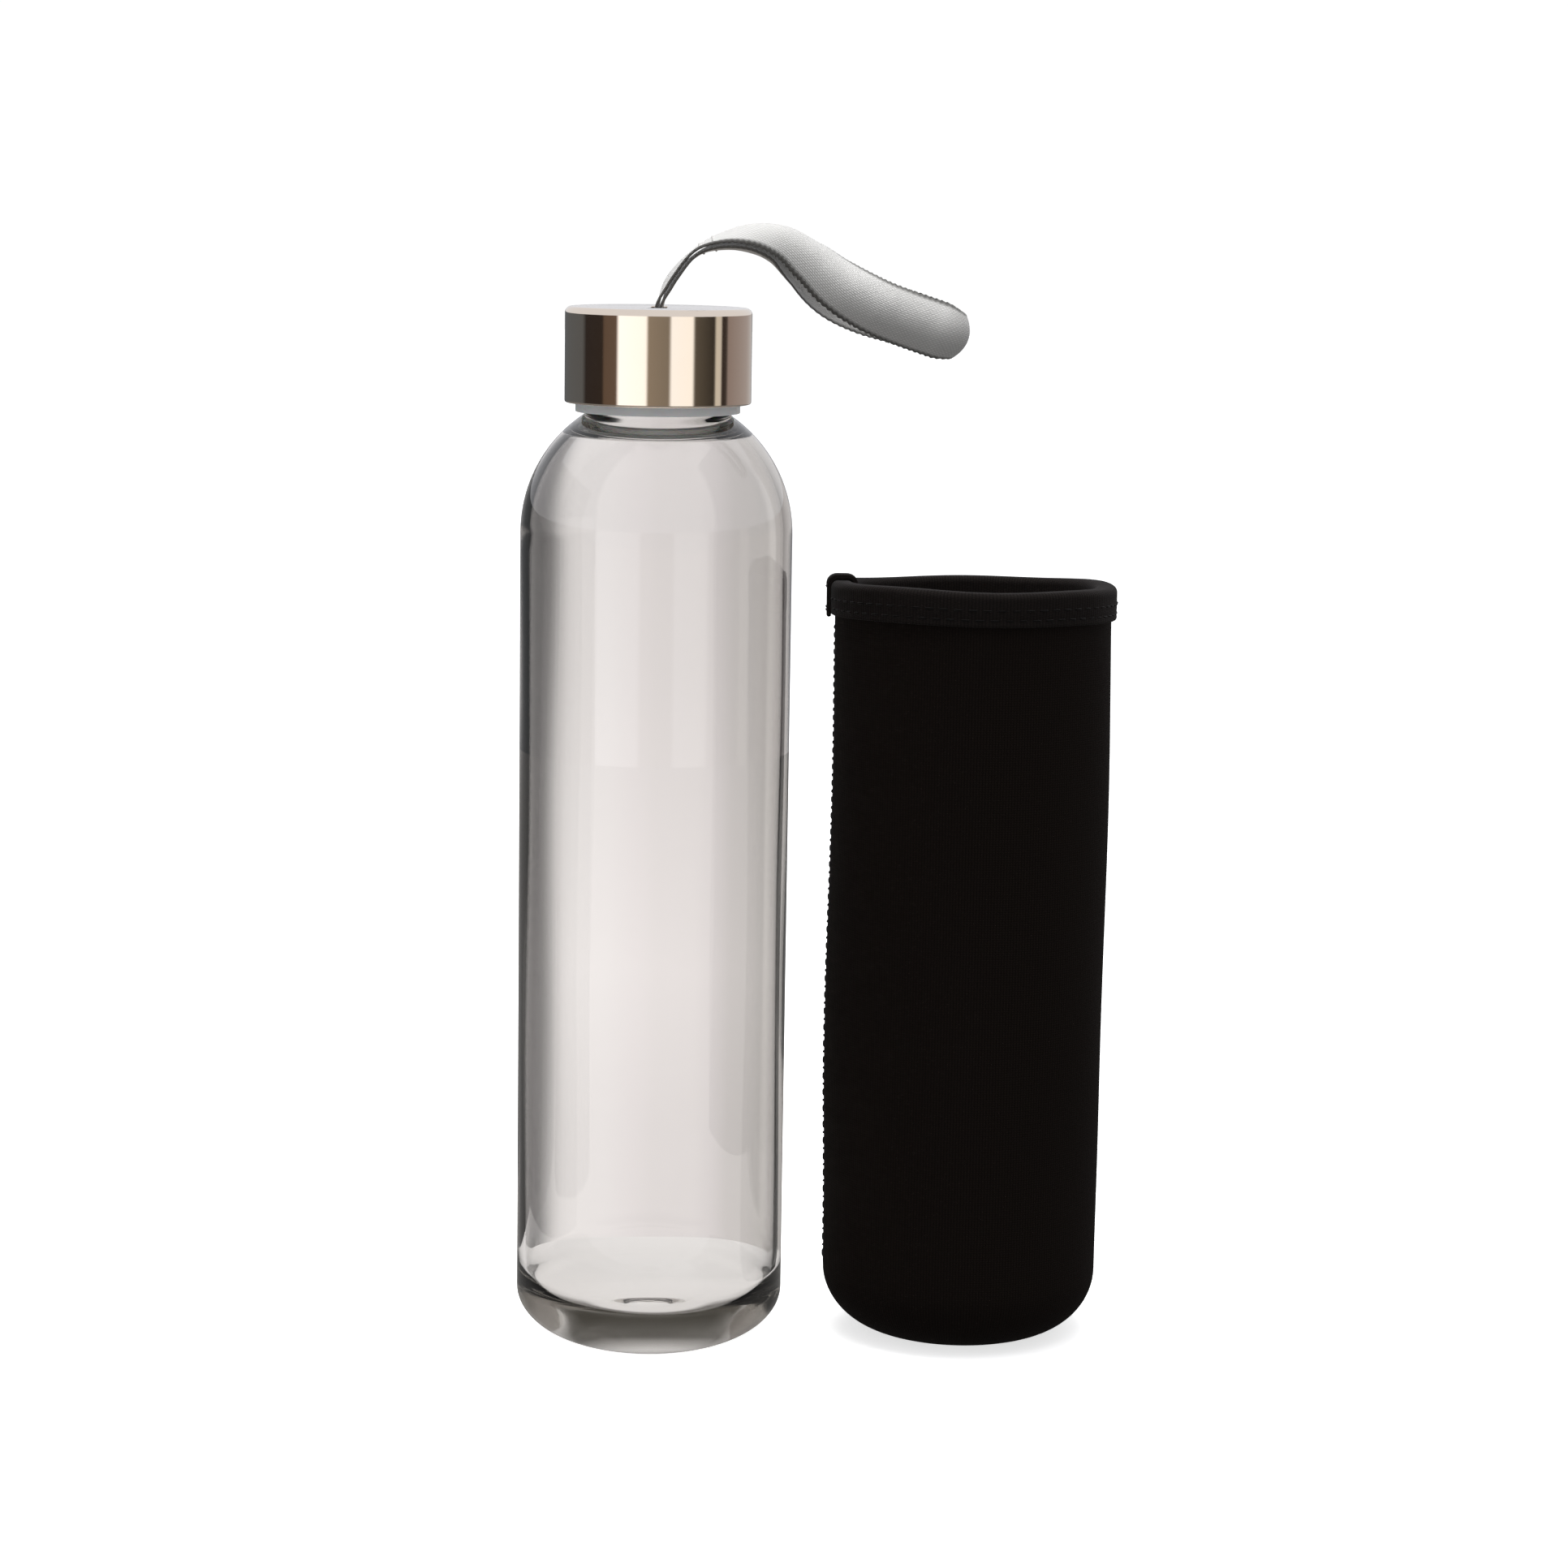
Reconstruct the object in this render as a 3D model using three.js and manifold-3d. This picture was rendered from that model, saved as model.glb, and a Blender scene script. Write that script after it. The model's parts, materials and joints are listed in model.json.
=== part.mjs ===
// A glass drinking bottle with a screw cap and a carry strap, and the neoprene sleeve that stands beside it.
// Millimetres, +Z up. The bottle's axis is at x = 0, y = 0 until the last lines move the whole group.
import * as THREE from "three";
import { mergeVertices } from "three/addons/utils/BufferGeometryUtils.js";
import Module from "manifold-3d";

const wasm = await Module();
wasm.setup();

const clearance = 0.3; // between any two pieces that touch
const roundSides = 48; // facets round the bottle, the cap and the sleeve

// Glass bottle
const bodyRadius = 30;
const bodyWall = 2;
const wallTop = 183.4; // height at which the straight wall meets the shoulder
const shoulderRadius = 31.2; // radius of the shoulder's arc, tangent to the wall
const heelWidth = 20; // the outer heel is a quarter of an ellipse, this wide
const heelHeight = 12; // and this high
const baseThickness = 4.4; // glass over the resting ring
const punt = 1.6; // rise of the base's middle above the resting ring
const restWidth = 4; // width of the flat ring that the bottle stands on
const neckRadius = 15.6; // root of the neck's thread
const neckHeight = 13.6; // from the shoulder to the rim
const mouthRadius = 13.2;
const rimRound = 0.8;
const ceilingRadius = 18.7; // inside, the shoulder flattens into a ceiling from here in to the mouth's bore
const ceilingRise = 0.6; // how far the ceiling rises towards the bore
const ceilingRound = 1; // rounding between the ceiling and the bore

// Thread, cut on the neck and in the liner
const threadStarts = 3;
const threadLead = 12; // rise in one full turn of the cap
const threadHeight = 1.1;
const threadRoot = 2.1; // width at the foot of the ridge
const threadCrest = 0.9; // width at its top
const threadArc = 130; // degrees that each ridge runs round
const threadDrop = 2.6; // from the rim down to the top end of each ridge
const threadSunk = 0.4; // how deep each ridge's foot goes into its wall
const threadAngle = 0.05; // radians: where the first ridge starts, off the wall's own facet edges

// Screw cap
const sealThickness = 1.6;
const linerWall = 1.05;
const linerDisc = 1.2;
const flangeWidth = 1.6; // the liner's flange and collar stand out this far to meet the shell
const flangeHeight = 1.4;
const skirtGap = 1.2; // from the glass shoulder up to the skirt's lower edge
const skirtShow = 2; // how much of the skirt shows below the metal
const shellWall = 0.5;
const shellRound = 1.4; // outer rounding of the shell's top edge
const shellCurl = 0.9; // how far its lower edge turns in

// Carry strap
const strapWidth = 12.4;
const strapThickness = 1.1;
const barRadius = 1.1;
const barOverhang = 2.2; // each end of the bar past the slot's end
const slotPlay = 0.5; // room round the webbing in the slot
const tailRise = 0.9; // how far the sewn end stands out of the slot
const eyeHalf = 3.4; // half of the open loop's width at the fold
const eyeStart = 0.36; // where the two runs begin to part, from 0 at the cap to 1 at the fold
const twistStart = 10; // the webbing turns from flat across the cap to upright,
const twistEnd = 66; // between these two lengths along it
const strapSteps = 34;
// The strap's middle line from its root, as x and z: up out of the slot, over in an arch, and down beyond the cap.
const strapLine = [
  [0, 0], [3.4, 6], [9, 10.6], [18.6, 12.7], [26.2, 11.4], [32.2, 7.2],
  [38.2, 2.4], [45.4, -1.2], [55, -4.4], [64.8, -7.6],
];

// Neoprene sleeve
const sleeveWall = 3;
const sleeveStretch = 1.7; // the empty sleeve's inside is this much smaller in radius than the glass
const sleeveDepth = 0.95; // front to back, as a part of its width
const sleeveShort = 11.4; // from the top of the bottle's straight wall down to the sleeve's rim
const sleeveHeelWidth = 15.7;
const sleeveHeelHeight = 14.4;
const hemHeight = 7.6;
const hemOuter = 0.9; // thickness of the binding outside the wall
const hemInner = 0.8; // and inside it
const hemTop = 1; // and over the top edge
const tabWidth = 5;
const tabThickness = 0.9;
const tabOverhang = 0.8; // how far the tab reaches below the binding
const seamWidth = 1.6;
const seamDepth = 1.8; // how far the seam allowance stands in from the wall
const rimSag = 2.4; // how much lower the rim is at the back
const sagFrom = 100; // height above which the sleeve sags
const sleeveGap = 8.4; // free space between the bottle and the sleeve
const sleeveBack = 12; // how far the sleeve's axis is behind the bottle's

// Heights and radii that follow from the sizes above
const shoulderAxis = bodyRadius - shoulderRadius;
const shoulderAt = (radius) => wallTop + Math.sqrt(shoulderRadius ** 2 - (radius - shoulderAxis) ** 2);
const neckBase = shoulderAt(neckRadius);
const rimTop = neckBase + neckHeight;
const linerBore = neckRadius + threadHeight + clearance + 0.05;
const skirtOuter = linerBore + linerWall;
const linerOuter = skirtOuter + flangeWidth;
const skirtBottom = shoulderAt(linerBore) + skirtGap;
const sealBottom = rimTop + clearance;
const discBottom = sealBottom + sealThickness + clearance;
const discTop = discBottom + linerDisc;
const wrapRadius = barRadius + clearance + strapThickness;
const barHeight = discTop + clearance + wrapRadius;
const shellUnder = barHeight + wrapRadius + clearance;
const capTop = shellUnder + shellWall;
const shellInner = linerOuter + clearance;
const capRadius = shellInner + shellWall;
const shellBottom = skirtBottom + skirtShow;
const threadPitch = threadLead / threadStarts;
const threadTop = rimTop - threadDrop;
const runOffset = (strapThickness + clearance) / 2; // from the strap's middle line to each of its two runs
const rootRound = runOffset + strapThickness / 2;
const strapRoot = capTop + tailRise + clearance + rootRound; // height of the line the strap swings about
const sleeveInner = bodyRadius - sleeveStretch;
const sleeveOuter = sleeveInner + sleeveWall;
const sleeveHeight = wallTop - sleeveShort;
const hemRadius = sleeveOuter + clearance + hemOuter;
const sleeveX = bodyRadius + sleeveGap + hemRadius;

const material = (color, roughness, metalness, opacity = 1) =>
  new THREE.MeshStandardMaterial({ color, roughness, metalness, opacity, transparent: opacity < 1 });
const glass = material(0xdcdcd6, 0.05, 0, 0.4);
const metal = material(0xd8bfa6, 0.12, 1);
const steel = material(0xb8b8b8, 0.3, 1);
const palePlastic = material(0xd3dde0, 0.35, 0, 0.9);
const silicone = material(0xe8e8e4, 0.6, 0);
const webbing = material(0xb9b7b2, 0.75, 0);
const neoprene = material(0x15110f, 0.85, 0);
const binding = material(0x0f0d0d, 0.9, 0);

const root = new THREE.Group();
function addMesh(name, geometry, finish, parent = root) {
  const mesh = new THREE.Mesh(geometry, finish);
  mesh.name = name;
  parent.add(mesh);
  return mesh;
}

// Points of a quarter of an ellipse, from one angle to another in degrees, round a centre.
function arc(centreR, centreZ, radiusR, radiusZ, from, to, steps) {
  return Array.from({ length: steps + 1 }, (_, i) => {
    const angle = THREE.MathUtils.degToRad(from + ((to - from) * i) / steps);
    return [centreR + radiusR * Math.cos(angle), centreZ + radiusZ * Math.sin(angle)];
  });
}

// A profile of [radius, height] pairs, turned about +Z. The profile runs anticlockwise round its material.
function turned(profile) {
  const points = profile.map(([radius, height]) => new THREE.Vector2(Math.max(radius, 0), height));
  return new THREE.LatheGeometry(points, roundSides).rotateX(Math.PI / 2);
}
const closed = (profile) => [...profile, profile[0]];

// The same geometry with every vertex moved by a function of its place.
function warped(geometry, place) {
  const position = geometry.getAttribute("position");
  const point = new THREE.Vector3();
  for (let i = 0; i < position.count; i++) {
    place(point.fromBufferAttribute(position, i));
    position.setXYZ(i, point.x, point.y, point.z);
  }
  return geometry;
}

function solidOf(geometry) {
  const bare = geometry.clone().deleteAttribute("normal").deleteAttribute("uv");
  const merged = mergeVertices(bare, 1e-3);
  return new wasm.Manifold(new wasm.Mesh({
    numProp: 3,
    vertProperties: merged.getAttribute("position").array,
    triVerts: new Uint32Array(merged.index.array),
  }));
}

function geometryOf(solid) {
  const mesh = solid.getMesh();
  const geometry = new THREE.BufferGeometry();
  geometry.setAttribute("position", new THREE.BufferAttribute(mesh.vertProperties, 3));
  geometry.setIndex(new THREE.BufferAttribute(mesh.triVerts, 1));
  geometry.computeVertexNormals();
  return geometry;
}

// One ridge of the thread: a trapezoid drawn out along a right-hand helix, low at both ends.
// outward is 1 for the neck's ridges and -1 for the liner's.
function ridge(wallRadius, outward, arcDegrees, startAngle, startHeight) {
  const steps = 14;
  const fadeSteps = 2;
  const endHeight = 0.35; // of the full height
  const section = new THREE.Shape([
    new THREE.Vector2(-threadSunk, -threadRoot / 2),
    new THREE.Vector2(threadHeight, -threadCrest / 2),
    new THREE.Vector2(threadHeight, threadCrest / 2),
    new THREE.Vector2(-threadSunk, threadRoot / 2),
  ]);
  const straight = new THREE.ExtrudeGeometry(section, { depth: steps, steps, bevelEnabled: false });
  const bent = warped(straight, (p) => {
    const along = p.z / steps;
    const turn = THREE.MathUtils.degToRad(arcDegrees) * along;
    const fromEnd = Math.min(p.z, steps - p.z) / fadeSteps;
    const fade = Math.min(1, endHeight + fromEnd);
    const radius = wallRadius + outward * (p.x > 0 ? p.x * fade : p.x);
    const height = startHeight + p.y + (threadLead * turn) / (2 * Math.PI);
    p.set(radius * Math.cos(startAngle + turn), radius * Math.sin(startAngle + turn), height);
  });
  if (outward < 0) return solidOf(bent);
  const position = bent.getAttribute("position");
  for (let i = 0; i < position.count; i += 3) {
    const second = new THREE.Vector3().fromBufferAttribute(position, i + 1);
    const third = new THREE.Vector3().fromBufferAttribute(position, i + 2);
    position.setXYZ(i + 1, third.x, third.y, third.z);
    position.setXYZ(i + 2, second.x, second.y, second.z);
  }
  return solidOf(bent);
}

function withRidges(solid, wallRadius, outward, arcDegrees, startHeight) {
  let threaded = solid;
  for (let i = 0; i < threadStarts; i++) {
    const startAngle = threadAngle + (2 * Math.PI * i) / threadStarts;
    threaded = threaded.add(ridge(wallRadius, outward, arcDegrees, startAngle, startHeight));
  }
  return threaded;
}

// The bottle: outside from the punt up to the rim, then down the inside to the middle of its floor.
function glassBottle() {
  const restOuter = bodyRadius - heelWidth;
  const restInner = restOuter - restWidth;
  const innerRadius = bodyRadius - bodyWall;
  const innerHeelWidth = heelWidth - bodyWall;
  const innerHeelHeight = heelHeight + bodyWall;
  const shoulderEnd = THREE.MathUtils.radToDeg(Math.acos((neckRadius - shoulderAxis) / shoulderRadius));
  const innerShoulder = shoulderRadius - bodyWall;
  const innerEnd = THREE.MathUtils.radToDeg(Math.acos((ceilingRadius - shoulderAxis) / innerShoulder));
  const ceilingTop = wallTop + Math.sqrt(innerShoulder ** 2 - (ceilingRadius - shoulderAxis) ** 2) + ceilingRise;
  const profile = [
    [0, punt],
    [restInner * 0.6, punt * 0.8],
    [restInner, 0],
    ...arc(restOuter, heelHeight, heelWidth, heelHeight, -90, 0, 9),
    ...arc(shoulderAxis, wallTop, shoulderRadius, shoulderRadius, 0, shoulderEnd, 10),
    ...arc(neckRadius - rimRound, rimTop - rimRound, rimRound, rimRound, 0, 90, 3),
    ...arc(mouthRadius + rimRound, rimTop - rimRound, rimRound, rimRound, 90, 180, 3),
    ...arc(mouthRadius + ceilingRound, ceilingTop + ceilingRound, ceilingRound, ceilingRound, 180, 270, 3),
    ...arc(shoulderAxis, wallTop, innerShoulder, innerShoulder, innerEnd, 0, 8),
    ...arc(innerRadius - innerHeelWidth, baseThickness + innerHeelHeight, innerHeelWidth,
      innerHeelHeight, 0, -90, 8),
    [0, baseThickness + punt / 2],
  ];
  const rise = (threadLead * threadArc) / 360;
  return geometryOf(withRidges(solidOf(turned(profile)), neckRadius, 1, threadArc,
    threadTop - threadRoot / 2 - rise));
}

// The shell: a cup turned upside down, with its top edge rounded and its lower edge turned in.
function capShell() {
  const innerRound = shellRound - shellWall;
  const curlInner = capRadius - shellWall - shellCurl;
  const curlRound = shellWall;
  const shell = solidOf(turned([
    [0, shellUnder],
    ...arc(shellInner - innerRound, shellUnder - innerRound, innerRound, innerRound, 90, 0, 4),
    [shellInner, shellBottom + shellWall],
    [curlInner, shellBottom + shellWall],
    [curlInner, shellBottom],
    ...arc(capRadius - curlRound, shellBottom + curlRound, curlRound, curlRound, -90, 0, 3),
    ...arc(capRadius - shellRound, capTop - shellRound, shellRound, shellRound, 0, 90, 6),
    [0, capTop],
  ]));
  const halfX = strapThickness + clearance / 2 + slotPlay;
  const halfY = strapWidth / 2 + slotPlay;
  const corner = slotPlay;
  const outline = new THREE.Shape();
  outline.moveTo(halfX, corner - halfY);
  outline.absarc(halfX - corner, halfY - corner, corner, 0, Math.PI / 2, false);
  outline.absarc(corner - halfX, halfY - corner, corner, Math.PI / 2, Math.PI, false);
  outline.absarc(corner - halfX, corner - halfY, corner, Math.PI, 1.5 * Math.PI, false);
  outline.absarc(halfX - corner, corner - halfY, corner, 1.5 * Math.PI, 2 * Math.PI, false);
  const depth = 4 * shellWall;
  const cutter = new THREE.ExtrudeGeometry(outline, { depth, bevelEnabled: false, curveSegments: 4 });
  cutter.translate(0, 0, shellUnder - depth / 4);
  return geometryOf(shell.subtract(solidOf(cutter)));
}

// The liner: a threaded skirt under a disc, with a flange at the shell's lower edge and a collar round the bar.
function capLiner() {
  const flangeBottom = shellBottom + shellWall + clearance;
  const collarInner = linerOuter - linerWall;
  const collarTop = shellUnder - clearance - shellRound;
  const liner = solidOf(turned([
    [0, discBottom],
    [linerBore, discBottom],
    [linerBore, skirtBottom],
    [skirtOuter, skirtBottom],
    [skirtOuter, flangeBottom],
    [linerOuter, flangeBottom],
    [linerOuter, flangeBottom + flangeHeight],
    [skirtOuter, flangeBottom + flangeHeight],
    [skirtOuter, discBottom],
    [linerOuter, discBottom],
    [linerOuter, collarTop],
    [collarInner, collarTop],
    [collarInner, discTop],
    [0, discTop],
  ]));
  const arcDegrees = threadArc * 0.85;
  const rise = (threadLead * threadArc) / 360;
  const startHeight = threadTop - threadRoot / 2 - rise - threadPitch / 2;
  return geometryOf(withRidges(liner, linerBore, -1, arcDegrees, startHeight));
}

function capSeal() {
  const inner = mouthRadius + rimRound / 2;
  const outer = linerBore - clearance;
  const edge = sealThickness / 4;
  return turned(closed([
    [inner + edge, sealBottom],
    [outer - edge, sealBottom],
    [outer, sealBottom + edge],
    [outer, sealBottom + sealThickness - edge],
    [outer - edge, sealBottom + sealThickness],
    [inner + edge, sealBottom + sealThickness],
    [inner, sealBottom + sealThickness - edge],
    [inner, sealBottom + edge],
  ]));
}

// The sewn end of the webbing: a keyhole outline across the bar, as long as the webbing is wide.
function strapTail() {
  const half = strapThickness + clearance / 2;
  const join = Math.asin(half / wrapRadius);
  const outline = new THREE.Shape();
  outline.moveTo(half, capTop + tailRise);
  outline.lineTo(-half, capTop + tailRise);
  outline.absarc(0, barHeight, wrapRadius, Math.PI / 2 + join, 2.5 * Math.PI - join, false);
  const eye = new THREE.Path();
  eye.absarc(0, barHeight, barRadius + clearance, 0, 2 * Math.PI, false);
  outline.holes.push(eye);
  const tail = new THREE.ExtrudeGeometry(outline, { depth: strapWidth, bevelEnabled: false, curveSegments: 20 });
  return tail.translate(0, 0, -strapWidth / 2).rotateX(Math.PI / 2);
}

function anchorBar() {
  const length = strapWidth + 2 * (slotPlay + barOverhang);
  return new THREE.CylinderGeometry(barRadius, barRadius, length, 16).translate(0, 0, barHeight);
}

// The loop of the strap, drawn flat as the outline of its two runs seen on edge, then laid along the strap's
// middle line and turned about it, from flat across the cap to upright beyond it.
function strapLoop() {
  const line = new THREE.CatmullRomCurve3(strapLine.map(([x, z]) => new THREE.Vector3(x, 0, strapRoot + z)));
  line.arcLengthDivisions = 400;
  const length = line.getLength();
  const half = strapThickness / 2;
  const offsetAt = (s) => runOffset + (eyeHalf - runOffset) * THREE.MathUtils.smoothstep(s / length, eyeStart, 0.8);
  const outlineAt = (side) => {
    const foldRound = eyeHalf + side * half;
    const foldAt = length - eyeHalf - half;
    const rootEnd = runOffset + side * half;
    const run = Array.from({ length: strapSteps + 1 }, (_, i) => {
      const s = (foldAt * i) / strapSteps;
      return [s, offsetAt(s) + side * half];
    });
    const fold = arc(foldAt, 0, foldRound, foldRound, 80, -80, 8);
    const back = run.map(([s, offset]) => [s, -offset]).reverse();
    const end = arc(0, 0, rootEnd, rootEnd, 252, 108, 4);
    return [...run, ...fold, ...back, ...end].map(([s, offset]) => new THREE.Vector2(s, offset));
  };
  const outline = new THREE.Shape(outlineAt(1).reverse());
  outline.holes.push(new THREE.Path(outlineAt(-1)));
  const flat = new THREE.ExtrudeGeometry(outline, { depth: strapWidth, steps: 1, bevelEnabled: false });
  const across = new THREE.Vector3(0, 1, 0);
  return warped(flat, (p) => {
    const u = THREE.MathUtils.clamp(p.x / length, 0, 1);
    const tangent = line.getTangentAt(u);
    const upward = new THREE.Vector3(-tangent.z, 0, tangent.x);
    const twist = (Math.PI / 2) * THREE.MathUtils.smoothstep(p.x, twistStart, twistEnd);
    const widthWay = across.clone().multiplyScalar(Math.cos(twist)).addScaledVector(upward, Math.sin(twist));
    const faceWay = upward.clone().multiplyScalar(Math.cos(twist)).addScaledVector(across, -Math.sin(twist));
    const centre = line.getPointAt(u).addScaledVector(tangent, p.x - u * length);
    const width = p.z - strapWidth / 2;
    const offset = p.y;
    p.copy(centre).addScaledVector(widthWay, -width).addScaledVector(faceWay, offset);
  });
}

// Takes a sleeve piece from round to slightly oval, with its rim lower at the back.
const sleeveFit = (p) => {
  const back = (p.y / sleeveOuter + 1) / 2;
  const lift = THREE.MathUtils.clamp((p.z - sagFrom) / (sleeveHeight - sagFrom), 0, 1.2);
  p.y *= sleeveDepth;
  p.z -= rimSag * back * lift;
};

function sleeveBody() {
  const footRadius = sleeveOuter - sleeveHeelWidth;
  const rings = [0.25, 0.5, 0.75].map((part) => sleeveHeelHeight + (sleeveHeight - sleeveHeelHeight) * part);
  return warped(turned(closed([
    ...arc(footRadius, sleeveHeelHeight, sleeveHeelWidth, sleeveHeelHeight, -90, 0, 7),
    ...rings.map((height) => [sleeveOuter, height]),
    [sleeveOuter, sleeveHeight],
    [sleeveInner, sleeveHeight],
    ...rings.map((height) => [sleeveInner, height]).reverse(),
    ...arc(footRadius, sleeveHeelHeight, sleeveHeelWidth - sleeveWall, sleeveHeelHeight - sleeveWall, 0, -90, 6),
  ])), sleeveFit);
}

function sleeveBase() {
  const radius = sleeveOuter - sleeveHeelWidth - clearance;
  return warped(turned([[0, 0], [radius, 0], [radius, sleeveWall], [0, sleeveWall]]), sleeveFit);
}

function sleeveHem() {
  const outer = hemRadius;
  const inner = sleeveInner - clearance - hemInner;
  const top = sleeveHeight + clearance + hemTop;
  const bottom = top - hemHeight;
  const round = hemOuter / 2;
  return warped(turned(closed([
    [sleeveOuter + clearance, bottom],
    [outer - round, bottom],
    [outer, bottom + round],
    ...arc(outer - hemTop, top - hemTop, hemTop, hemTop, 0, 90, 3),
    ...arc(inner + hemTop, top - hemTop, hemTop, hemTop, 90, 180, 3),
    [inner, bottom],
    [sleeveInner - clearance, bottom],
    [sleeveInner - clearance, sleeveHeight + clearance],
    [sleeveOuter + clearance, sleeveHeight + clearance],
  ])), sleeveFit);
}

// The overlap of the binding: a strip folded over the hem on the side nearest the bottle.
function sleeveHemTab() {
  const cavityOuter = hemRadius + clearance;
  const bow = (tabWidth / 2) ** 2 / (2 * sleeveInner); // how far the hem curves away across the tab's width
  const cavityInner = sleeveInner - 2 * clearance - hemInner - bow;
  const cavityTop = sleeveHeight + 2 * clearance + hemTop;
  const bottom = cavityTop - clearance - hemHeight - tabOverhang;
  const round = tabThickness;
  const outline = new THREE.Shape();
  outline.moveTo(-cavityOuter - tabThickness, bottom);
  outline.lineTo(-cavityOuter, bottom);
  outline.lineTo(-cavityOuter, cavityTop);
  outline.lineTo(-cavityInner, cavityTop);
  outline.lineTo(-cavityInner, bottom);
  outline.lineTo(-cavityInner + tabThickness, bottom);
  outline.lineTo(-cavityInner + tabThickness, cavityTop);
  outline.absarc(-cavityInner + tabThickness - round, cavityTop, round, 0, Math.PI / 2, false);
  outline.absarc(-cavityOuter - tabThickness + round, cavityTop, round, Math.PI / 2, Math.PI, false);
  const tab = new THREE.ExtrudeGeometry(outline, { depth: tabWidth, bevelEnabled: false, curveSegments: 4 });
  return warped(tab.translate(0, 0, -tabWidth / 2).rotateX(Math.PI / 2), sleeveFit);
}

// The seam allowance: a thin strip that stands in from the wall, from the heel to just under the hem.
function sleeveSideSeam() {
  const bottom = sleeveHeelHeight + clearance;
  const top = sleeveHeight - hemHeight - tabOverhang;
  const strip = new THREE.BoxGeometry(seamDepth, seamWidth, top - bottom, 1, 1, 6);
  strip.translate(-(sleeveInner - clearance - seamDepth / 2), 0, (top + bottom) / 2);
  return warped(strip, sleeveFit);
}

addMesh("glass_bottle", glassBottle(), glass);
addMesh("cap_shell", capShell(), metal);
addMesh("cap_liner", capLiner(), palePlastic);
addMesh("cap_seal", capSeal(), silicone);
addMesh("strap_anchor_bar", anchorBar(), steel);
addMesh("strap_tail", strapTail(), webbing);
addMesh("strap_loop", strapLoop(), webbing);

const sleeve = new THREE.Group();
sleeve.position.set(sleeveX, sleeveBack, 0);
root.add(sleeve);
addMesh("sleeve_body", sleeveBody(), neoprene, sleeve);
addMesh("sleeve_base", sleeveBase(), neoprene, sleeve);
addMesh("sleeve_hem", sleeveHem(), binding, sleeve);
addMesh("sleeve_hem_tab", sleeveHemTab(), binding, sleeve);
addMesh("sleeve_side_seam", sleeveSideSeam(), neoprene, sleeve);

// The origin is the middle of the whole part, on the surface that it stands on.
const farX = sleeveX + hemRadius;
const farY = Math.max(bodyRadius, sleeveBack + hemRadius * sleeveDepth);
root.position.set((bodyRadius - farX) / 2, (bodyRadius - farY) / 2, 0);

export default root;
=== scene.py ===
import json
import math
import bmesh
import bpy
import numpy as np
from mathutils import Euler, Matrix, Vector


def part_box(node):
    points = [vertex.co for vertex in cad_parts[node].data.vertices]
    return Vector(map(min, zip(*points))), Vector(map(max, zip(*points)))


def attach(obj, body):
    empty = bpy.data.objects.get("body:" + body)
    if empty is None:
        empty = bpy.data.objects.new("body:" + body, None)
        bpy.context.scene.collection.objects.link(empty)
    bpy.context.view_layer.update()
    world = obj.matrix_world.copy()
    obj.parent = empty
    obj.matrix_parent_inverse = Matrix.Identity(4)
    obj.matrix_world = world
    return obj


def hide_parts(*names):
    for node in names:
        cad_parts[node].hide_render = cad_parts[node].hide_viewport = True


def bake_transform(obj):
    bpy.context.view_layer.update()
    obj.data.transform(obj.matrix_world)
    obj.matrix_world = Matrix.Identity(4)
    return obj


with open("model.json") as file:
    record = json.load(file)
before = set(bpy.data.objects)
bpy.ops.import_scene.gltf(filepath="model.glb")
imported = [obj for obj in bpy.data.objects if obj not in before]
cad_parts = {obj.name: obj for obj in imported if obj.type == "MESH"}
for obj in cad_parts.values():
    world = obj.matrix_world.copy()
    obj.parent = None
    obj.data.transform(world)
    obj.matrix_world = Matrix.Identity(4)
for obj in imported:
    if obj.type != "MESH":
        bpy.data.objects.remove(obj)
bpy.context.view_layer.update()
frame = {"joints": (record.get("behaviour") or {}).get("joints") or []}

# A glass drinking bottle with a metal screw cap and a webbing carry strap, its neoprene sleeve beside it.
# Places come from the frame, in metres. The sizes in the dictionaries are millimetres.
mm = 0.001


def middle(node):
    low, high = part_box(node)
    return (low + high) / 2


bottleAxis = middle("glass_bottle")
sleeveAxis = middle("sleeve_body")

camera = {"lens": 85.47, "right": 29, "back": 820, "height": 258.7, "pitch": 9.08, "roll": 0.91}


def makeCamera():
    data = bpy.data.cameras.new("studio_camera")
    data.lens = camera["lens"]
    data.sensor_width = 36
    data.clip_start = 0.01
    seen = bpy.data.objects.new("studio_camera", data)
    bpy.context.scene.collection.objects.link(seen)
    seen.location = (bottleAxis.x + camera["right"] * mm, bottleAxis.y - camera["back"] * mm,
                     camera["height"] * mm)
    tilt = Euler((math.radians(90 - camera["pitch"]), 0, 0)).to_matrix()
    roll = Matrix.Rotation(math.radians(camera["roll"]), 3, "Z")
    seen.rotation_euler = (tilt @ roll).to_euler()
    bpy.context.scene.camera = seen


makeCamera()
print("camera is set")


def smoothstep(value, low, high):
    t = np.clip((value - low) / (high - low), 0, 1)
    return t * t * (3 - 2 * t)


# Points of an ellipse's arc, from one angle to another in degrees, as [radius, height] pairs.
def arc(centre, radii, start, end, steps):
    angle = np.radians(np.linspace(start, end, steps + 1))
    return [[centre[0] + radii[0] * c, centre[1] + radii[1] * s]
            for c, s in zip(np.cos(angle), np.sin(angle))]


# A straight stretch of a profile, without its last point.
def straight(start, end, steps):
    return [list(p) for p in np.linspace(start, end, steps + 1)[:-1]]


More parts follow.
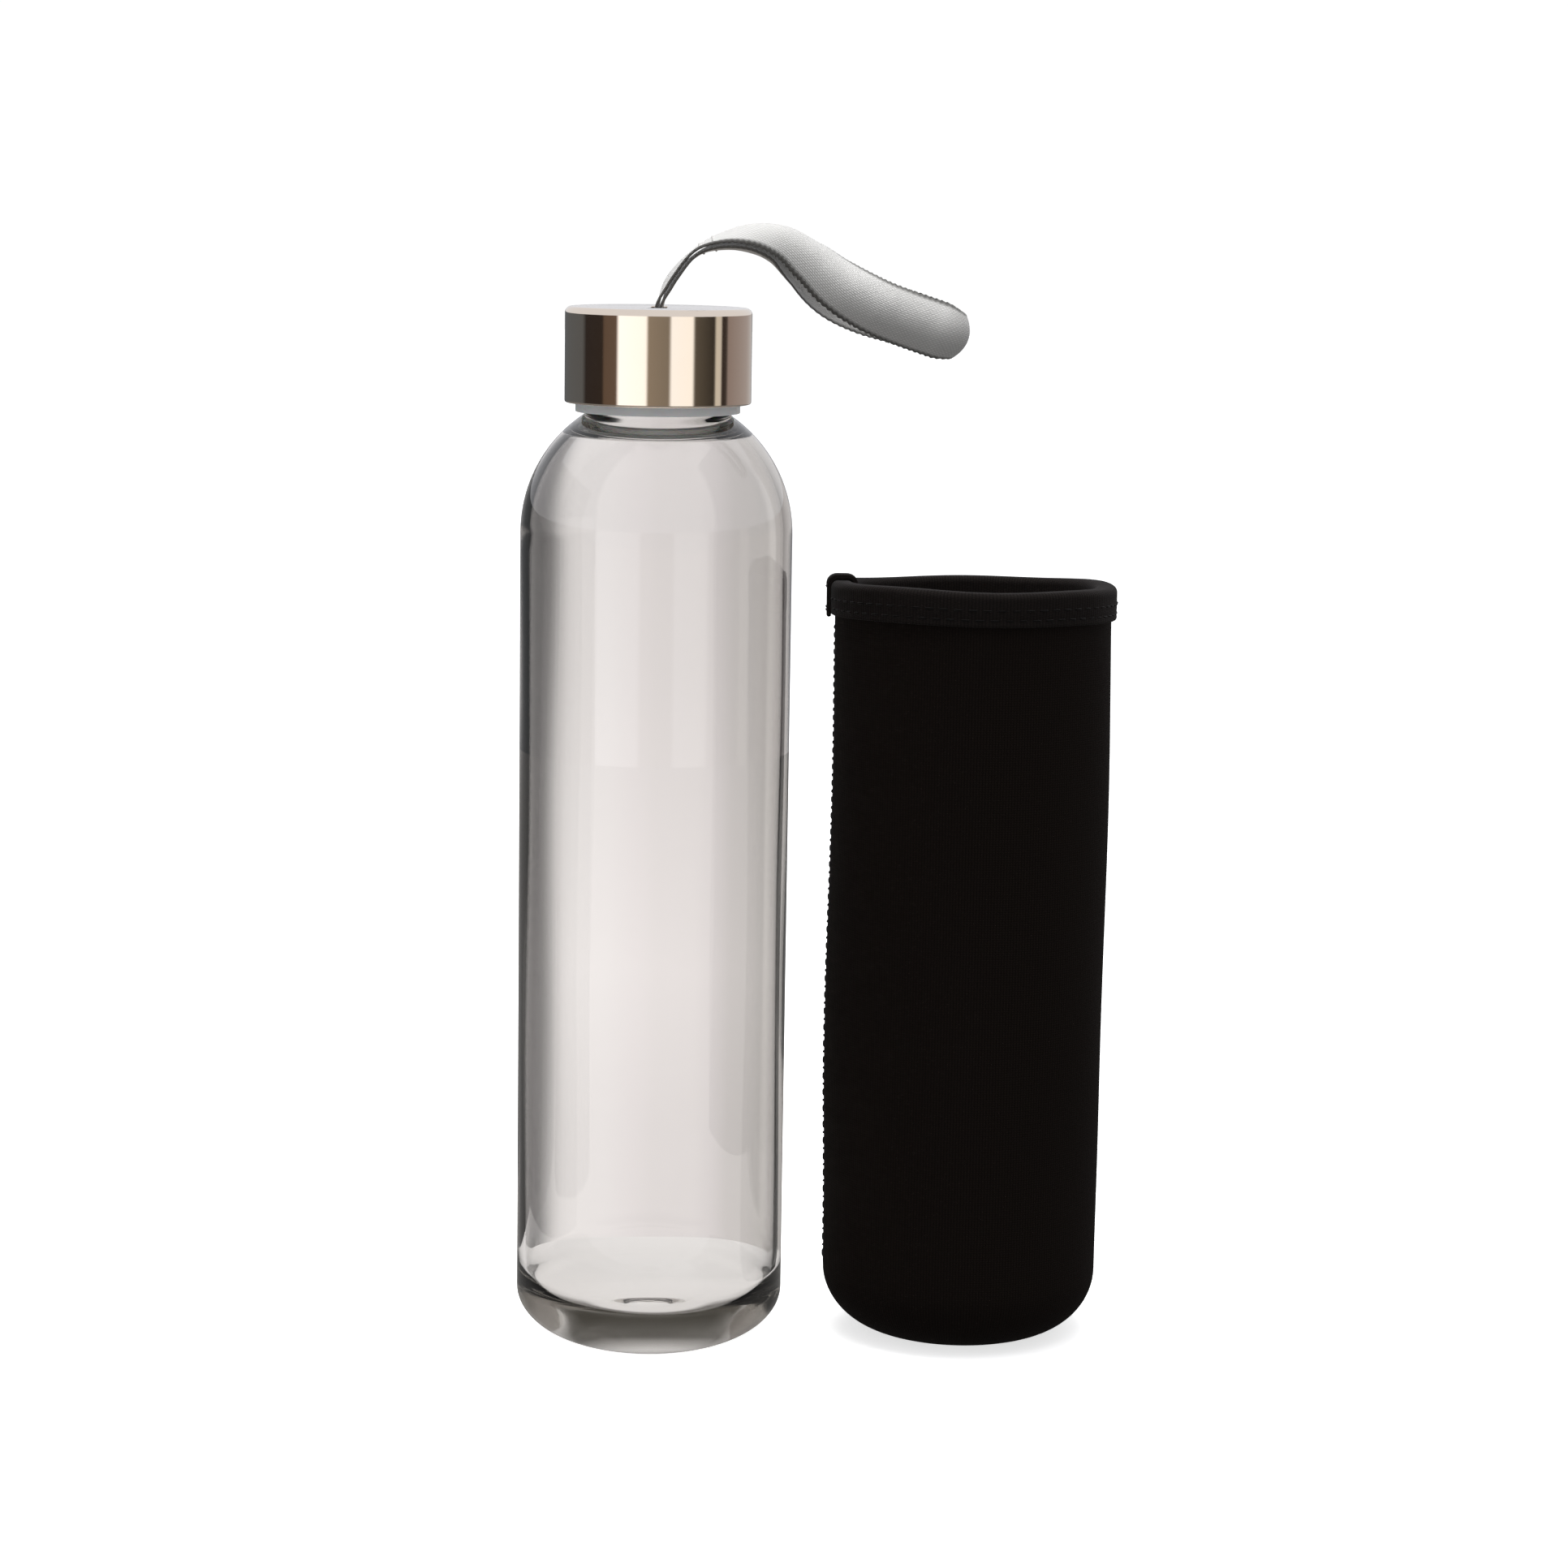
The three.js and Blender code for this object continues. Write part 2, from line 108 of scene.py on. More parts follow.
# The corners of a closed profile made round, each by a short curve.
def eased(profile, radius, steps=4):
    points = np.array(profile, float)
    made = []
    for before, corner, after in zip(np.roll(points, 1, 0), points, np.roll(points, -1, 0)):
        reach = [min(radius, 0.4 * np.linalg.norm(side - corner)) for side in (before, after)]
        start, end = [corner + (side - corner) / max(np.linalg.norm(side - corner), 1e-9) * r
                      for side, r in zip((before, after), reach)]
        for t in np.linspace(0, 1, steps + 1):
            made.append((1 - t) ** 2 * start + 2 * t * (1 - t) * corner + t ** 2 * end)
    return [list(p) for p in made]


# A mesh from a grid of points in millimetres, shaped (rows, columns, 3), with a "cloth" map in millimetres.
def gridPiece(name, points, wrapRows=False, wrapColumns=True, smooth=True):
    rows, columns = points.shape[:2]
    rowCount = rows if wrapRows else rows - 1
    columnCount = columns if wrapColumns else columns - 1
    i, j = np.meshgrid(np.arange(rowCount), np.arange(columnCount), indexing="ij")
    nextI, nextJ = (i + 1) % rows, (j + 1) % columns
    corners = np.stack([i * columns + j, i * columns + nextJ,
                        nextI * columns + nextJ, nextI * columns + j], -1)
    corners = corners.reshape(-1, 4)
    flat = points.reshape(-1, 3)
    a, b, c, d = (flat[corners[:, k]] for k in range(4))
    volume = (np.einsum("ij,ij->i", a, np.cross(b, c)) + np.einsum("ij,ij->i", a, np.cross(c, d))).sum()
    across = np.cumsum(np.linalg.norm(np.diff(points, axis=1, append=points[:, :1]), axis=2).max(0))
    along = np.cumsum(np.linalg.norm(np.diff(points, axis=0, append=points[:1]), axis=2).max(1))
    across, along = np.concatenate([[0], across]), np.concatenate([[0], along])
    u = np.stack([across[j], across[j + 1], across[j + 1], across[j]], -1).reshape(-1, 4)
    v = np.stack([along[i], along[i], along[i + 1], along[i + 1]], -1).reshape(-1, 4)
    if volume < 0:
        corners, u, v = corners[:, ::-1], u[:, ::-1], v[:, ::-1]
    return meshPiece(name, flat, corners, np.stack([u, v], -1).reshape(-1, 2), smooth)


def meshPiece(name, points, corners, cloth=None, smooth=True):
    mesh = bpy.data.meshes.new(name)
    mesh.from_pydata((points * mm).tolist(), [], corners if isinstance(corners, list) else corners.tolist())
    if cloth is not None:
        mesh.uv_layers.new(name="cloth").data.foreach_set("uv", cloth.astype(np.float32).ravel())
    mesh.polygons.foreach_set("use_smooth", [smooth] * len(mesh.polygons))
    mesh.update()
    piece = bpy.data.objects.new(name, mesh)
    bpy.context.scene.collection.objects.link(piece)
    return piece


# Joins the points that a profile's end brings together on the axis.
def closePoles(piece):
    work = bmesh.new()
    work.from_mesh(piece.data)
    bmesh.ops.remove_doubles(work, verts=work.verts, dist=1e-7)
    work.to_mesh(piece.data)
    work.free()
    return piece


# The rings of a profile of [radius, height] pairs, turned. bend(angle, radius, height) may move each ring.
def turnedRings(profile, sides, bend=None):
    angle = np.repeat(np.linspace(0, 2 * math.pi, sides, endpoint=False)[None], len(profile), 0)
    radius = np.repeat(np.array(profile)[:, :1], sides, 1)
    height = np.repeat(np.array(profile)[:, 1:2], sides, 1)
    if bend:
        radius, height = bend(angle, radius, height)
    return angle, radius, height


# A profile turned about an upright axis.
def turnedPiece(name, axis, profile, sides, bend=None, closed=False):
    angle, radius, height = turnedRings(profile, sides, bend)
    x, y = radius * np.cos(angle), radius * np.sin(angle)
    points = np.stack([x, y, height], -1) + np.array([axis.x, axis.y, 0]) / mm
    return closePoles(gridPiece(name, points, wrapRows=closed))


# Keeps broad faces flat beside their rounded edges.
def crisp(piece):
    piece.modifiers.new("flat faces", "WEIGHTED_NORMAL").keep_sharp = True
    return piece


# Links a socket to another node's output, or sets its plain value.
def feed(tree, socket, value):
    if isinstance(value, bpy.types.NodeSocket):
        tree.links.new(value, socket)
    else:
        socket.default_value = value


# Adds a shader node. Keywords name its settings or its sockets, or give a socket's number, such as i0.
def addNode(tree, kind, outputs=0, **values):
    node = tree.nodes.new("ShaderNode" + kind)
    for key, value in values.items():
        if hasattr(node, key):
            setattr(node, key, value)
            continue
        name = key.replace("_", " ")
        numbered = key[0] == "i" and key[1:].isdigit()
        feed(tree, node.inputs[int(key[1:])] if numbered else node.inputs[name], value)
    return node.outputs[outputs]


def calc(tree, operation, *values):
    node = tree.nodes.new("ShaderNodeMath")
    node.operation = operation
    for socket, value in zip(node.inputs, values):
        feed(tree, socket, value)
    return node.outputs[0]


def blendColour(tree, factor, first, second):
    node = tree.nodes.new("ShaderNodeMix")
    node.data_type = "RGBA"
    for number, value in ((0, factor), (6, first), (7, second)):
        feed(tree, node.inputs[number], (*value, 1) if isinstance(value, tuple) else value)
    return node.outputs[2]


def newGroup(name, inputs, outputs):
    tree = bpy.data.node_groups.new(name, "ShaderNodeTree")
    for label, kind, value in inputs:
        socket = tree.interface.new_socket(name=label, in_out="INPUT", socket_type=kind)
        if value is not None:
            socket.default_value = value
    for label in outputs:
        tree.interface.new_socket(name=label, in_out="OUTPUT", socket_type="NodeSocketFloat")
    return tree, tree.nodes.new("NodeGroupInput").outputs, tree.nodes.new("NodeGroupOutput").inputs


def useGroup(tree, group, **values):
    node = tree.nodes.new("ShaderNodeGroup")
    node.node_tree = group
    for key, value in values.items():
        feed(tree, node.inputs[key.replace("_", " ")], value)
    return node.outputs


# Threads side by side, each rising and dipping along its length: webbing, tape or knitted cloth.
def makeThreadFace():
    number = "NodeSocketFloat"
    tree, given, result = newGroup(
        "threadFace",
        [("Place", "NodeSocketVector", None), ("Threads", number, 2), ("Floats", number, 2),
         ("Stagger", number, 0.5), ("Vee", number, 0)],
        ["Height", "Gap"])
    place = tree.nodes.new("ShaderNodeSeparateXYZ")
    tree.links.new(given["Place"], place.inputs[0])
    thread = calc(tree, "MULTIPLY", place.outputs[0], given["Threads"])
    bulge = calc(tree, "ABSOLUTE", calc(tree, "SINE", calc(tree, "MULTIPLY", thread, math.pi)))
    doubled = calc(tree, "MULTIPLY", calc(tree, "FRACT", thread), 2)
    side = calc(tree, "ABSOLUTE", calc(tree, "SUBTRACT", doubled, 1))
    shifted = calc(tree, "MULTIPLY", calc(tree, "FLOOR", thread), given["Stagger"])
    slanted = calc(tree, "MULTIPLY_ADD", side, given["Vee"], shifted)
    phase = calc(tree, "MULTIPLY_ADD", place.outputs[1], given["Floats"], slanted)
    swing = calc(tree, "COSINE", calc(tree, "MULTIPLY", phase, 2 * math.pi))
    wave = calc(tree, "MULTIPLY_ADD", swing, 0.5, 0.5)
    raised = calc(tree, "POWER", bulge, 0.6)
    height = calc(tree, "MULTIPLY", raised, calc(tree, "MULTIPLY_ADD", wave, 0.5, 0.5))
    tree.links.new(height, result["Height"])
    tree.links.new(calc(tree, "SUBTRACT", 1, height), result["Gap"])
    return tree


# Slow, broad changes of tone and fine dust, for any surface.
def makeSurfaceLife():
    number = "NodeSocketFloat"
    tree, given, result = newGroup(
        "surfaceLife",
        [("Place", "NodeSocketVector", None), ("Broad", number, 40), ("Fine", number, 900)],
        ["Tone", "Grain"])
    broad = addNode(tree, "TexNoise", Vector=given["Place"], Scale=given["Broad"], Detail=4.0, Roughness=0.6)
    fine = addNode(tree, "TexNoise", Vector=given["Place"], Scale=given["Fine"], Detail=3.0, Roughness=0.7)
    tree.links.new(broad, result["Tone"])
    tree.links.new(fine, result["Grain"])
    return tree


# Hair-fine polishing lines that run round a turned metal piece.
def makePolishLines():
    tree, given, result = newGroup(
        "polishLines",
        [("Place", "NodeSocketVector", None), ("Density", "NodeSocketFloat", 6)],
        ["Line"])
    place = tree.nodes.new("ShaderNodeSeparateXYZ")
    tree.links.new(given["Place"], place.inputs[0])
    stretched = addNode(tree, "CombineXYZ", i0=calc(tree, "MULTIPLY", place.outputs[0], 0.03),
                        i1=calc(tree, "MULTIPLY", place.outputs[1], given["Density"]))
    lines = addNode(tree, "TexNoise", Vector=stretched, Scale=1.0, Detail=5.0, Roughness=0.75)
    tree.links.new(lines, result["Line"])
    return tree


threadFace = makeThreadFace()
surfaceLife = makeSurfaceLife()
polishLines = makePolishLines()


def newMaterial(name, **plain):
    finish = bpy.data.materials.new(name)
    finish.use_nodes = True
    tree = finish.node_tree
    shader = next(n for n in tree.nodes if n.type == "BSDF_PRINCIPLED")
    for key, value in plain.items():
        plainValue = (*value, 1) if isinstance(value, tuple) else value
        shader.inputs[key.replace("_", " ")].default_value = plainValue
    return finish, tree, shader.inputs


def objectPlace(tree):
    return addNode(tree, "TexCoord", outputs="Object")


def clothPlace(tree):
    return addNode(tree, "UVMap", uv_map="cloth")


def wear(piece, finish):
    piece.data.materials.clear()
    piece.data.materials.append(finish)
    return piece


thread = {"starts": 3, "lead": 12, "height": 1.1, "foot": 1.78, "crest": 0.9, "turn": 130, "fade": 12,
          "drop": 2.6, "first": 0.05, "footWidth": 2.1}
bottle = {"wall": 2, "shoulder": 31.2, "wallTop": 183.4, "heelWidth": 20, "heelHeight": 12, "base": 4.4,
          "punt": 1.6, "rest": 4, "neck": 15.6, "mouth": 13.2, "rim": 0.8, "neckFillet": 1.0,
          "filletFade": 0.6, "ceiling": 18.7, "ceilingRise": 0.6, "ceilingRound": 1, "wave": 0.07,
          "markRadius": 1.5, "markHeight": 0.3, "sides": 168, "wallSteps": 46, "heelSteps": 22, "floorSteps": 26}
bottleRadius = (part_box("glass_bottle")[1].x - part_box("glass_bottle")[0].x) / 2 / mm
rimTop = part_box("glass_bottle")[1].z / mm
threadTop = rimTop - thread["drop"]
threadRise = thread["lead"] * thread["turn"] / 360


# How far the thread stands out of its wall at each angle and height, from 0 to 1.
def ridgeAt(angle, height, turn, lowest):
    stands = np.zeros_like(angle)
    for k in range(thread["starts"]):
        start = thread["first"] + 2 * math.pi * k / thread["starts"]
        travel = np.degrees(np.mod(angle - start, 2 * math.pi))
        middleHeight = lowest + thread["lead"] * travel / 360
        across = np.abs(height - middleHeight)
        crest = 1 - smoothstep(across, thread["crest"] / 2, thread["foot"] / 2)
        ends = smoothstep(travel, 0, thread["fade"]) * (1 - smoothstep(travel, turn - thread["fade"], turn))
        stands = np.maximum(stands, crest * ends)
    return stands


def makeBottle():
    b = bottle
    outerAxis = bottleRadius - b["shoulder"]
    filletRadius = b["neck"] + b["neckFillet"]
    filletStart = b["wallTop"] + math.sqrt(b["shoulder"] ** 2 - (filletRadius - outerAxis) ** 2)
    endAngle = math.degrees(math.acos((filletRadius - outerAxis) / b["shoulder"]))
    innerRadius = bottleRadius - b["wall"]
    innerShoulder = b["shoulder"] - b["wall"]
    innerEnd = math.degrees(math.acos((b["ceiling"] - outerAxis) / innerShoulder))
    innerTop = b["wallTop"] + innerShoulder * math.sin(math.radians(innerEnd)) + b["ceilingRise"]
    boreEnd = innerTop + b["ceilingRound"]
    restOuter = bottleRadius - b["heelWidth"]
    restInner = restOuter - b["rest"]
    innerHeel = (b["heelWidth"] - b["wall"], b["heelHeight"] + b["wall"])
    rimHeight = rimTop - b["rim"]
    rim = (b["rim"], b["rim"])
    ceilingCorner = (b["ceilingRound"], b["ceilingRound"])
    puntCurve = [[r, b["punt"] * (1 - (r / restInner) ** 2.6)] for r in np.linspace(0, restInner, 9)]
    neckWall = [[b["neck"] + b["neckFillet"] * math.exp((filletStart - z) / b["filletFade"]), z]
                for z in np.linspace(filletStart, rimHeight, 64)[1:-1]]
    innerFloor = [[r, b["base"] + b["punt"] / 2 * (1 - (r / 10) ** 2)]
                  for r in np.linspace(9.6, 0, b["floorSteps"])]
    profile = [
        *puntCurve,
        *arc((restOuter, b["heelHeight"]), (b["heelWidth"], b["heelHeight"]), -90, 0, 26)[:-1],
        *straight((bottleRadius, b["heelHeight"]), (bottleRadius, b["wallTop"]), b["wallSteps"]),
        *arc((outerAxis, b["wallTop"]), (b["shoulder"], b["shoulder"]), 0, endAngle, 34),
        *neckWall,
        *arc((b["neck"] - b["rim"], rimHeight), rim, 0, 90, 6),
        *arc((b["mouth"] + b["rim"], rimHeight), rim, 90, 180, 6)[:-1],
        *straight((b["mouth"], rimHeight), (b["mouth"], boreEnd), 12),
        *arc((b["mouth"] + b["ceilingRound"], boreEnd), ceilingCorner, 180, 270, 6)[:-1],
        *straight((b["mouth"] + b["ceilingRound"], innerTop),
                  (b["ceiling"] - 1, innerTop - b["ceilingRise"] * 0.8), 6),
        *arc((outerAxis, b["wallTop"]), (innerShoulder, innerShoulder), innerEnd - 1, 0, 28)[:-1],
        *straight((innerRadius, b["wallTop"]), (innerRadius, b["base"] + innerHeel[1]), b["wallSteps"]),
        *arc((innerRadius - innerHeel[0], b["base"] + innerHeel[1]), innerHeel, 0, -90, b["heelSteps"])[:-1],
        *innerFloor,
    ]
    insideFrom = len(profile) - b["wallSteps"] - b["heelSteps"] - b["floorSteps"]
    isInside = (np.arange(len(profile)) >= insideFrom)[:, None]

    def bend(angle, radius, height):
        onNeck = (height > filletStart) & (radius > b["mouth"] + b["rim"] + 0.5)
        lowest = threadTop - thread["footWidth"] / 2 - threadRise
        stands = thread["height"] * ridgeAt(angle, height, thread["turn"], lowest)
        radius = radius + np.where(onNeck, stands, 0)
        ripple = (np.sin(2 * angle + 0.8 + height / 60) + 0.6 * np.sin(3 * angle - height / 35)
                  + 0.3 * np.sin(7 * angle + height / 18))
        lower = smoothstep(radius, 3, 20)
        radius = radius + np.where(isInside, b["wave"] * ripple * lower, 0)
        # a shallow horseshoe left by the mould in the middle of the floor
        onFloor = isInside & (radius < 9)
        ring = np.exp(-((radius - b["markRadius"]) / 0.4) ** 2) * (0.5 - 0.5 * np.sin(angle)) ** 0.7
        height = height + np.where(onFloor, b["markHeight"] * ring, 0)
        settle = (0.35 * np.sin(angle + 1.1) * np.sin(radius / 6)
                  + 0.16 * np.sin(3 * angle) * np.sin(radius / 9))
        height = height + np.where(isInside & (height < b["base"] + 9), settle, 0)
        return radius, height

    return turnedPiece("bottle_glass", bottleAxis, profile, b["sides"], bend)


# Clear glass with a breath of grey. Lamps shine through it, and handling leaves it a little smudged.
def glassFinish():
    finish, tree, sockets = newMaterial("clear_glass", Base_Color=(0.99, 0.988, 0.985), IOR=1.5, Metallic=0.0,
                                        Transmission_Weight=1.0)
    life = useGroup(tree, surfaceLife, Place=objectPlace(tree), Broad=26.0, Fine=420.0)
    smudge = addNode(tree, "MapRange", Value=life["Tone"], From_Min=0.45, From_Max=0.8,
                     To_Min=0.0, To_Max=0.012)
    tree.links.new(smudge, sockets["Roughness"])
    output = next(n for n in tree.nodes if n.type == "OUTPUT_MATERIAL")
    solid = output.inputs["Surface"].links[0].from_socket
    isShadow = addNode(tree, "LightPath", outputs="Is Shadow Ray")
    through = addNode(tree, "BsdfTransparent", Color=(0.8, 0.8, 0.79, 1))
    mixed = addNode(tree, "MixShader", i0=isShadow, i1=solid, i2=through)
    tree.links.new(mixed, output.inputs["Surface"])
    depth = addNode(tree, "VolumeAbsorption", Color=(0.5, 0.485, 0.45, 1), Density=45.0)
    tree.links.new(depth, output.inputs["Volume"])
    return finish


glassBottle = makeBottle()
wear(glassBottle, glassFinish())
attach(glassBottle, "bottle")
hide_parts("glass_bottle")
print("glass bottle is made")

cap = {"wall": 0.5, "round": 1.4, "curl": 0.9, "slotLip": 0.16, "slotPlay": 0.5, "slotPower": 9, "sides": 216}
liner = {"wall": 1.05, "flange": 1.6, "flangeHeight": 1.4, "disc": 1.2, "clearance": 0.3, "ease": 0.22}
strap = {"width": 12.4, "thickness": 1.1, "clearance": 0.3, "pressed": 0.62, "apart": 0.16, "eyeHalf": 3.4,
         "eyeStart": 0.36, "eyeFull": 0.8, "twistStart": 10, "twistEnd": 66, "rootTwist": 5, "step": 0.3,
         "crown": 3.4, "scallop": 0.13, "scallopPitch": 1.25, "edge": 0.3, "foldPull": 0.3}
shellLow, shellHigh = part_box("cap_shell")
capRadius = (shellHigh.x - shellLow.x) / 2 / mm
capTop, shellBottom = shellHigh.z / mm, shellLow.z / mm


# Rings that change from the slot's rounded rectangle to the cap's circle.
def makeCapShell():
    c = cap
    inner = capRadius - c["wall"]
    under = capTop - c["wall"]
    innerRound = c["round"] - c["wall"]
    side = c["wall"]
    flat = [[t, capTop] for t in np.linspace(1, 0, 12)[1:-1]]
    flatUnder = [[t, under] for t in np.linspace(0, 1, 8)]
    outline = [
        *arc((inner - innerRound, under - innerRound), (innerRound, innerRound), 90, 0, 6)[:-1],
        *straight((inner, under - innerRound), (inner, shellBottom + side), 10),
        *straight((inner, shellBottom + side), (inner - c["curl"], shellBottom + side), 3),
        *arc((inner - c["curl"], shellBottom + side / 2), (side / 2, side / 2), 90, 270, 6),
        *arc((capRadius - side, shellBottom + side), (side, side), -90, 0, 6)[:-1],
        *straight((capRadius, shellBottom + side), (capRadius, capTop - c["round"]), 14),
        *arc((capRadius - c["round"], capTop - c["round"]), (c["round"], c["round"]), 0, 90, 10),
    ]
    angle = np.linspace(0, 2 * math.pi, c["sides"], endpoint=False)
    circle = np.stack([np.cos(angle), np.sin(angle)], -1)
    halfX = strap["thickness"] + strap["clearance"] / 2 + c["slotPlay"]
    halfY = strap["width"] / 2 + c["slotPlay"]
    power = c["slotPower"]

    def slotRing(grow):
        reach = (np.abs(circle[:, 0] / (halfX + grow)) ** power
                 + np.abs(circle[:, 1] / (halfY + grow)) ** power)
        return circle * (reach ** (-1 / power))[:, None]

    rings = []
    for share, height in flatUnder[:-1]:
        rings.append((slotRing(0) * (1 - share) + circle * (inner - innerRound) * share, height))
    rings += [(circle * radius, height) for radius, height in outline]
    lip = c["slotLip"]
    for share, height in flat:
        rings.append((slotRing(2 * lip) * (1 - share) + circle * (capRadius - c["round"]) * share, height))
    for turn in np.radians(np.linspace(90, 0, 6)):
        rings.append((slotRing(lip * (1 - math.cos(turn))), capTop - lip * (1 - math.sin(turn))))
    points = np.array([[(*xy, height) for xy in ring] for ring, height in rings])
    points += np.array([bottleAxis.x, bottleAxis.y, 0]) / mm
    return crisp(gridPiece("cap_metal_shell", points, wrapRows=True))


def makeCapLiner():
    n = liner
    gap = n["clearance"]
    linerLow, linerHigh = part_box("cap_liner")
    outer = capRadius - cap["wall"] - gap
    skirtOuter = outer - n["flange"]
    bore = skirtOuter - n["wall"]
    bottom, collarTop = linerLow.z / mm, linerHigh.z / mm
    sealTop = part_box("cap_seal")[1].z / mm
    discBottom = sealTop + gap
    discTop = discBottom + n["disc"]
    flangeBottom = shellBottom + cap["wall"] + gap
    boreWall = [[bore, z] for z in np.linspace(discBottom - 0.4, bottom + 0.4, 56)]
    corners = [
        [bore, bottom], [skirtOuter, bottom], [skirtOuter, flangeBottom], [outer, flangeBottom],
        [outer, flangeBottom + n["flangeHeight"]], [skirtOuter, flangeBottom + n["flangeHeight"]],
        [skirtOuter, discBottom], [outer, discBottom], [outer, collarTop], [outer - n["wall"], collarTop],
        [outer - n["wall"], discTop], [0, discTop], [0, discBottom], [bore, discBottom],
    ]
    rounded = eased(corners, n["ease"])
    perCorner = 5  # points that eased makes at each corner
    onAxis = [11, 12]  # the disc's two corners on the axis stay sharp
    profile = []
    for k in range(len(corners)):
        if k in onAxis:
            profile.append(corners[k])
            continue
        profile += rounded[k * perCorner:(k + 1) * perCorner]
    profile += boreWall
    split = profile.index(corners[12])
    profile = profile[split:] + profile[:split]

    def bend(angle, radius, height):
        lowest = threadTop - thread["footWidth"] / 2 - threadRise - thread["lead"] / thread["starts"] / 2
        stands = thread["height"] * ridgeAt(angle, height, thread["turn"] * 0.85, lowest)
        return radius - np.where(np.abs(radius - bore) < 0.01, stands, 0), height

    return crisp(turnedPiece("cap_plastic_liner", bottleAxis, profile, 168, bend))


def makeCapSeal():
    low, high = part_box("cap_seal")
    outer = (high.x - low.x) / 2 / mm
    inner = bottle["mouth"] + bottle["rim"] / 2
    bottom, top = low.z / mm, high.z / mm
    corners = [[inner, bottom], [outer, bottom], [outer, top], [inner, top]]
    profile = eased(corners, 0.4, 6)

    def bead(angle, radius, height):
        side = np.where(height > (bottom + top) / 2, 0.06, -0.06)
        return radius, height + side * np.cos((radius - inner) * 3)

    return turnedPiece("cap_silicone_seal", bottleAxis, profile, 128, bead, closed=True)


# The pin that the webbing hangs on inside the cap, turned with rounded ends.
def makeAnchorPin():
    low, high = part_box("strap_anchor_bar")
    centre = (low + high) / 2
    radius, half = (high.x - low.x) / 2 / mm, (high.y - low.y) / 2 / mm
    edge = 0.3
    profile = [[0, -half], *arc((radius - edge, edge - half), (edge, edge), -90, 0, 5)[:-1],
               *straight((radius, edge - half), (radius, half - edge), 12),
               *arc((radius - edge, half - edge), (edge, edge), 0, 90, 5), [0, half]]
    pin = turnedPiece("cap_anchor_pin", Vector((0, 0, 0)), profile, 40)
    pin.data.transform(Matrix.Translation(centre) @ Matrix.Rotation(math.radians(90), 4, "X"))
    return crisp(pin)


def capMetalFinish():
    finish, tree, sockets = newMaterial("champagne_metal", Metallic=1.0)
    life = useGroup(tree, surfaceLife, Place=objectPlace(tree), Broad=70.0, Fine=1600.0)
    lines = useGroup(tree, polishLines, Place=clothPlace(tree), Density=7.0)
    tone = blendColour(tree, life["Tone"], (0.905, 0.80, 0.69), (0.885, 0.77, 0.655))
    tree.links.new(tone, sockets["Base Color"])
    polish = calc(tree, "MULTIPLY_ADD", lines["Line"], 0.05, 0.025)
    tree.links.new(calc(tree, "MULTIPLY_ADD", life["Grain"], 0.02, polish), sockets["Roughness"])
    bump = addNode(tree, "Bump", Strength=0.02, Distance=0.0001, Height=lines["Line"])
    tree.links.new(bump, sockets["Normal"])
    return finish


def pinFinish():
    finish, tree, sockets = newMaterial("brushed_steel", Metallic=1.0)
    life = useGroup(tree, surfaceLife, Place=objectPlace(tree), Broad=300.0, Fine=2600.0)
    lines = useGroup(tree, polishLines, Place=clothPlace(tree), Density=12.0)
    tone = blendColour(tree, life["Tone"], (0.56, 0.56, 0.57), (0.42, 0.42, 0.43))
    tree.links.new(tone, sockets["Base Color"])
    tree.links.new(calc(tree, "MULTIPLY_ADD", lines["Line"], 0.3, 0.18), sockets["Roughness"])
    return finish


def linerFinish():
    finish, tree, sockets = newMaterial("frosted_plastic", IOR=1.49, Transmission_Weight=0.1,
                                        Subsurface_Weight=0.4, Subsurface_Scale=0.002)
    life = useGroup(tree, surfaceLife, Place=objectPlace(tree), Broad=120.0, Fine=2400.0)
    tone = blendColour(tree, life["Tone"], (0.92, 0.97, 0.99), (0.95, 0.985, 1.0))
    tree.links.new(tone, sockets["Base Color"])
    tree.links.new(calc(tree, "MULTIPLY_ADD", life["Grain"], 0.2, 0.22), sockets["Roughness"])
    bump = addNode(tree, "Bump", Strength=0.05, Distance=0.0001, Height=life["Grain"])
    tree.links.new(bump, sockets["Normal"])
    return finish


def sealFinish():
    finish, tree, sockets = newMaterial("matt_silicone", Subsurface_Weight=0.3, Subsurface_Scale=0.0015)
    life = useGroup(tree, surfaceLife, Place=objectPlace(tree), Broad=160.0, Fine=2800.0)
    tone = blendColour(tree, life["Tone"], (0.80, 0.80, 0.78), (0.86, 0.86, 0.84))
    tree.links.new(tone, sockets["Base Color"])
    tree.links.new(calc(tree, "MULTIPLY_ADD", life["Grain"], 0.2, 0.45), sockets["Roughness"])
    bump = addNode(tree, "Bump", Strength=0.15, Distance=0.0001, Height=life["Grain"])
    tree.links.new(bump, sockets["Normal"])
    return finish


for piece, finish, slotName, body, node in (
        (makeCapShell(), capMetalFinish(), "cap_metal", "cap", "cap_shell"),
        (makeCapLiner(), linerFinish(), "liner_plastic", "cap", "cap_liner"),
        (makeCapSeal(), sealFinish(), "seal_rubber", "seal", "cap_seal"),
        (makeAnchorPin(), pinFinish(), "bar_steel", "cap", "strap_anchor_bar")):
    wear(piece, finish)
    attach(piece, body)
    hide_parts(node)
print("screw cap is made")

strapJoint = next(j for j in frame["joints"] if j["name"] == "strap_swing")
strapRoot = Vector(strapJoint["pos_m"]) / mm
pinCentre = middle("strap_anchor_bar") / mm
pinRadius = (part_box("strap_anchor_bar")[1].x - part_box("strap_anchor_bar")[0].x) / 2 / mm
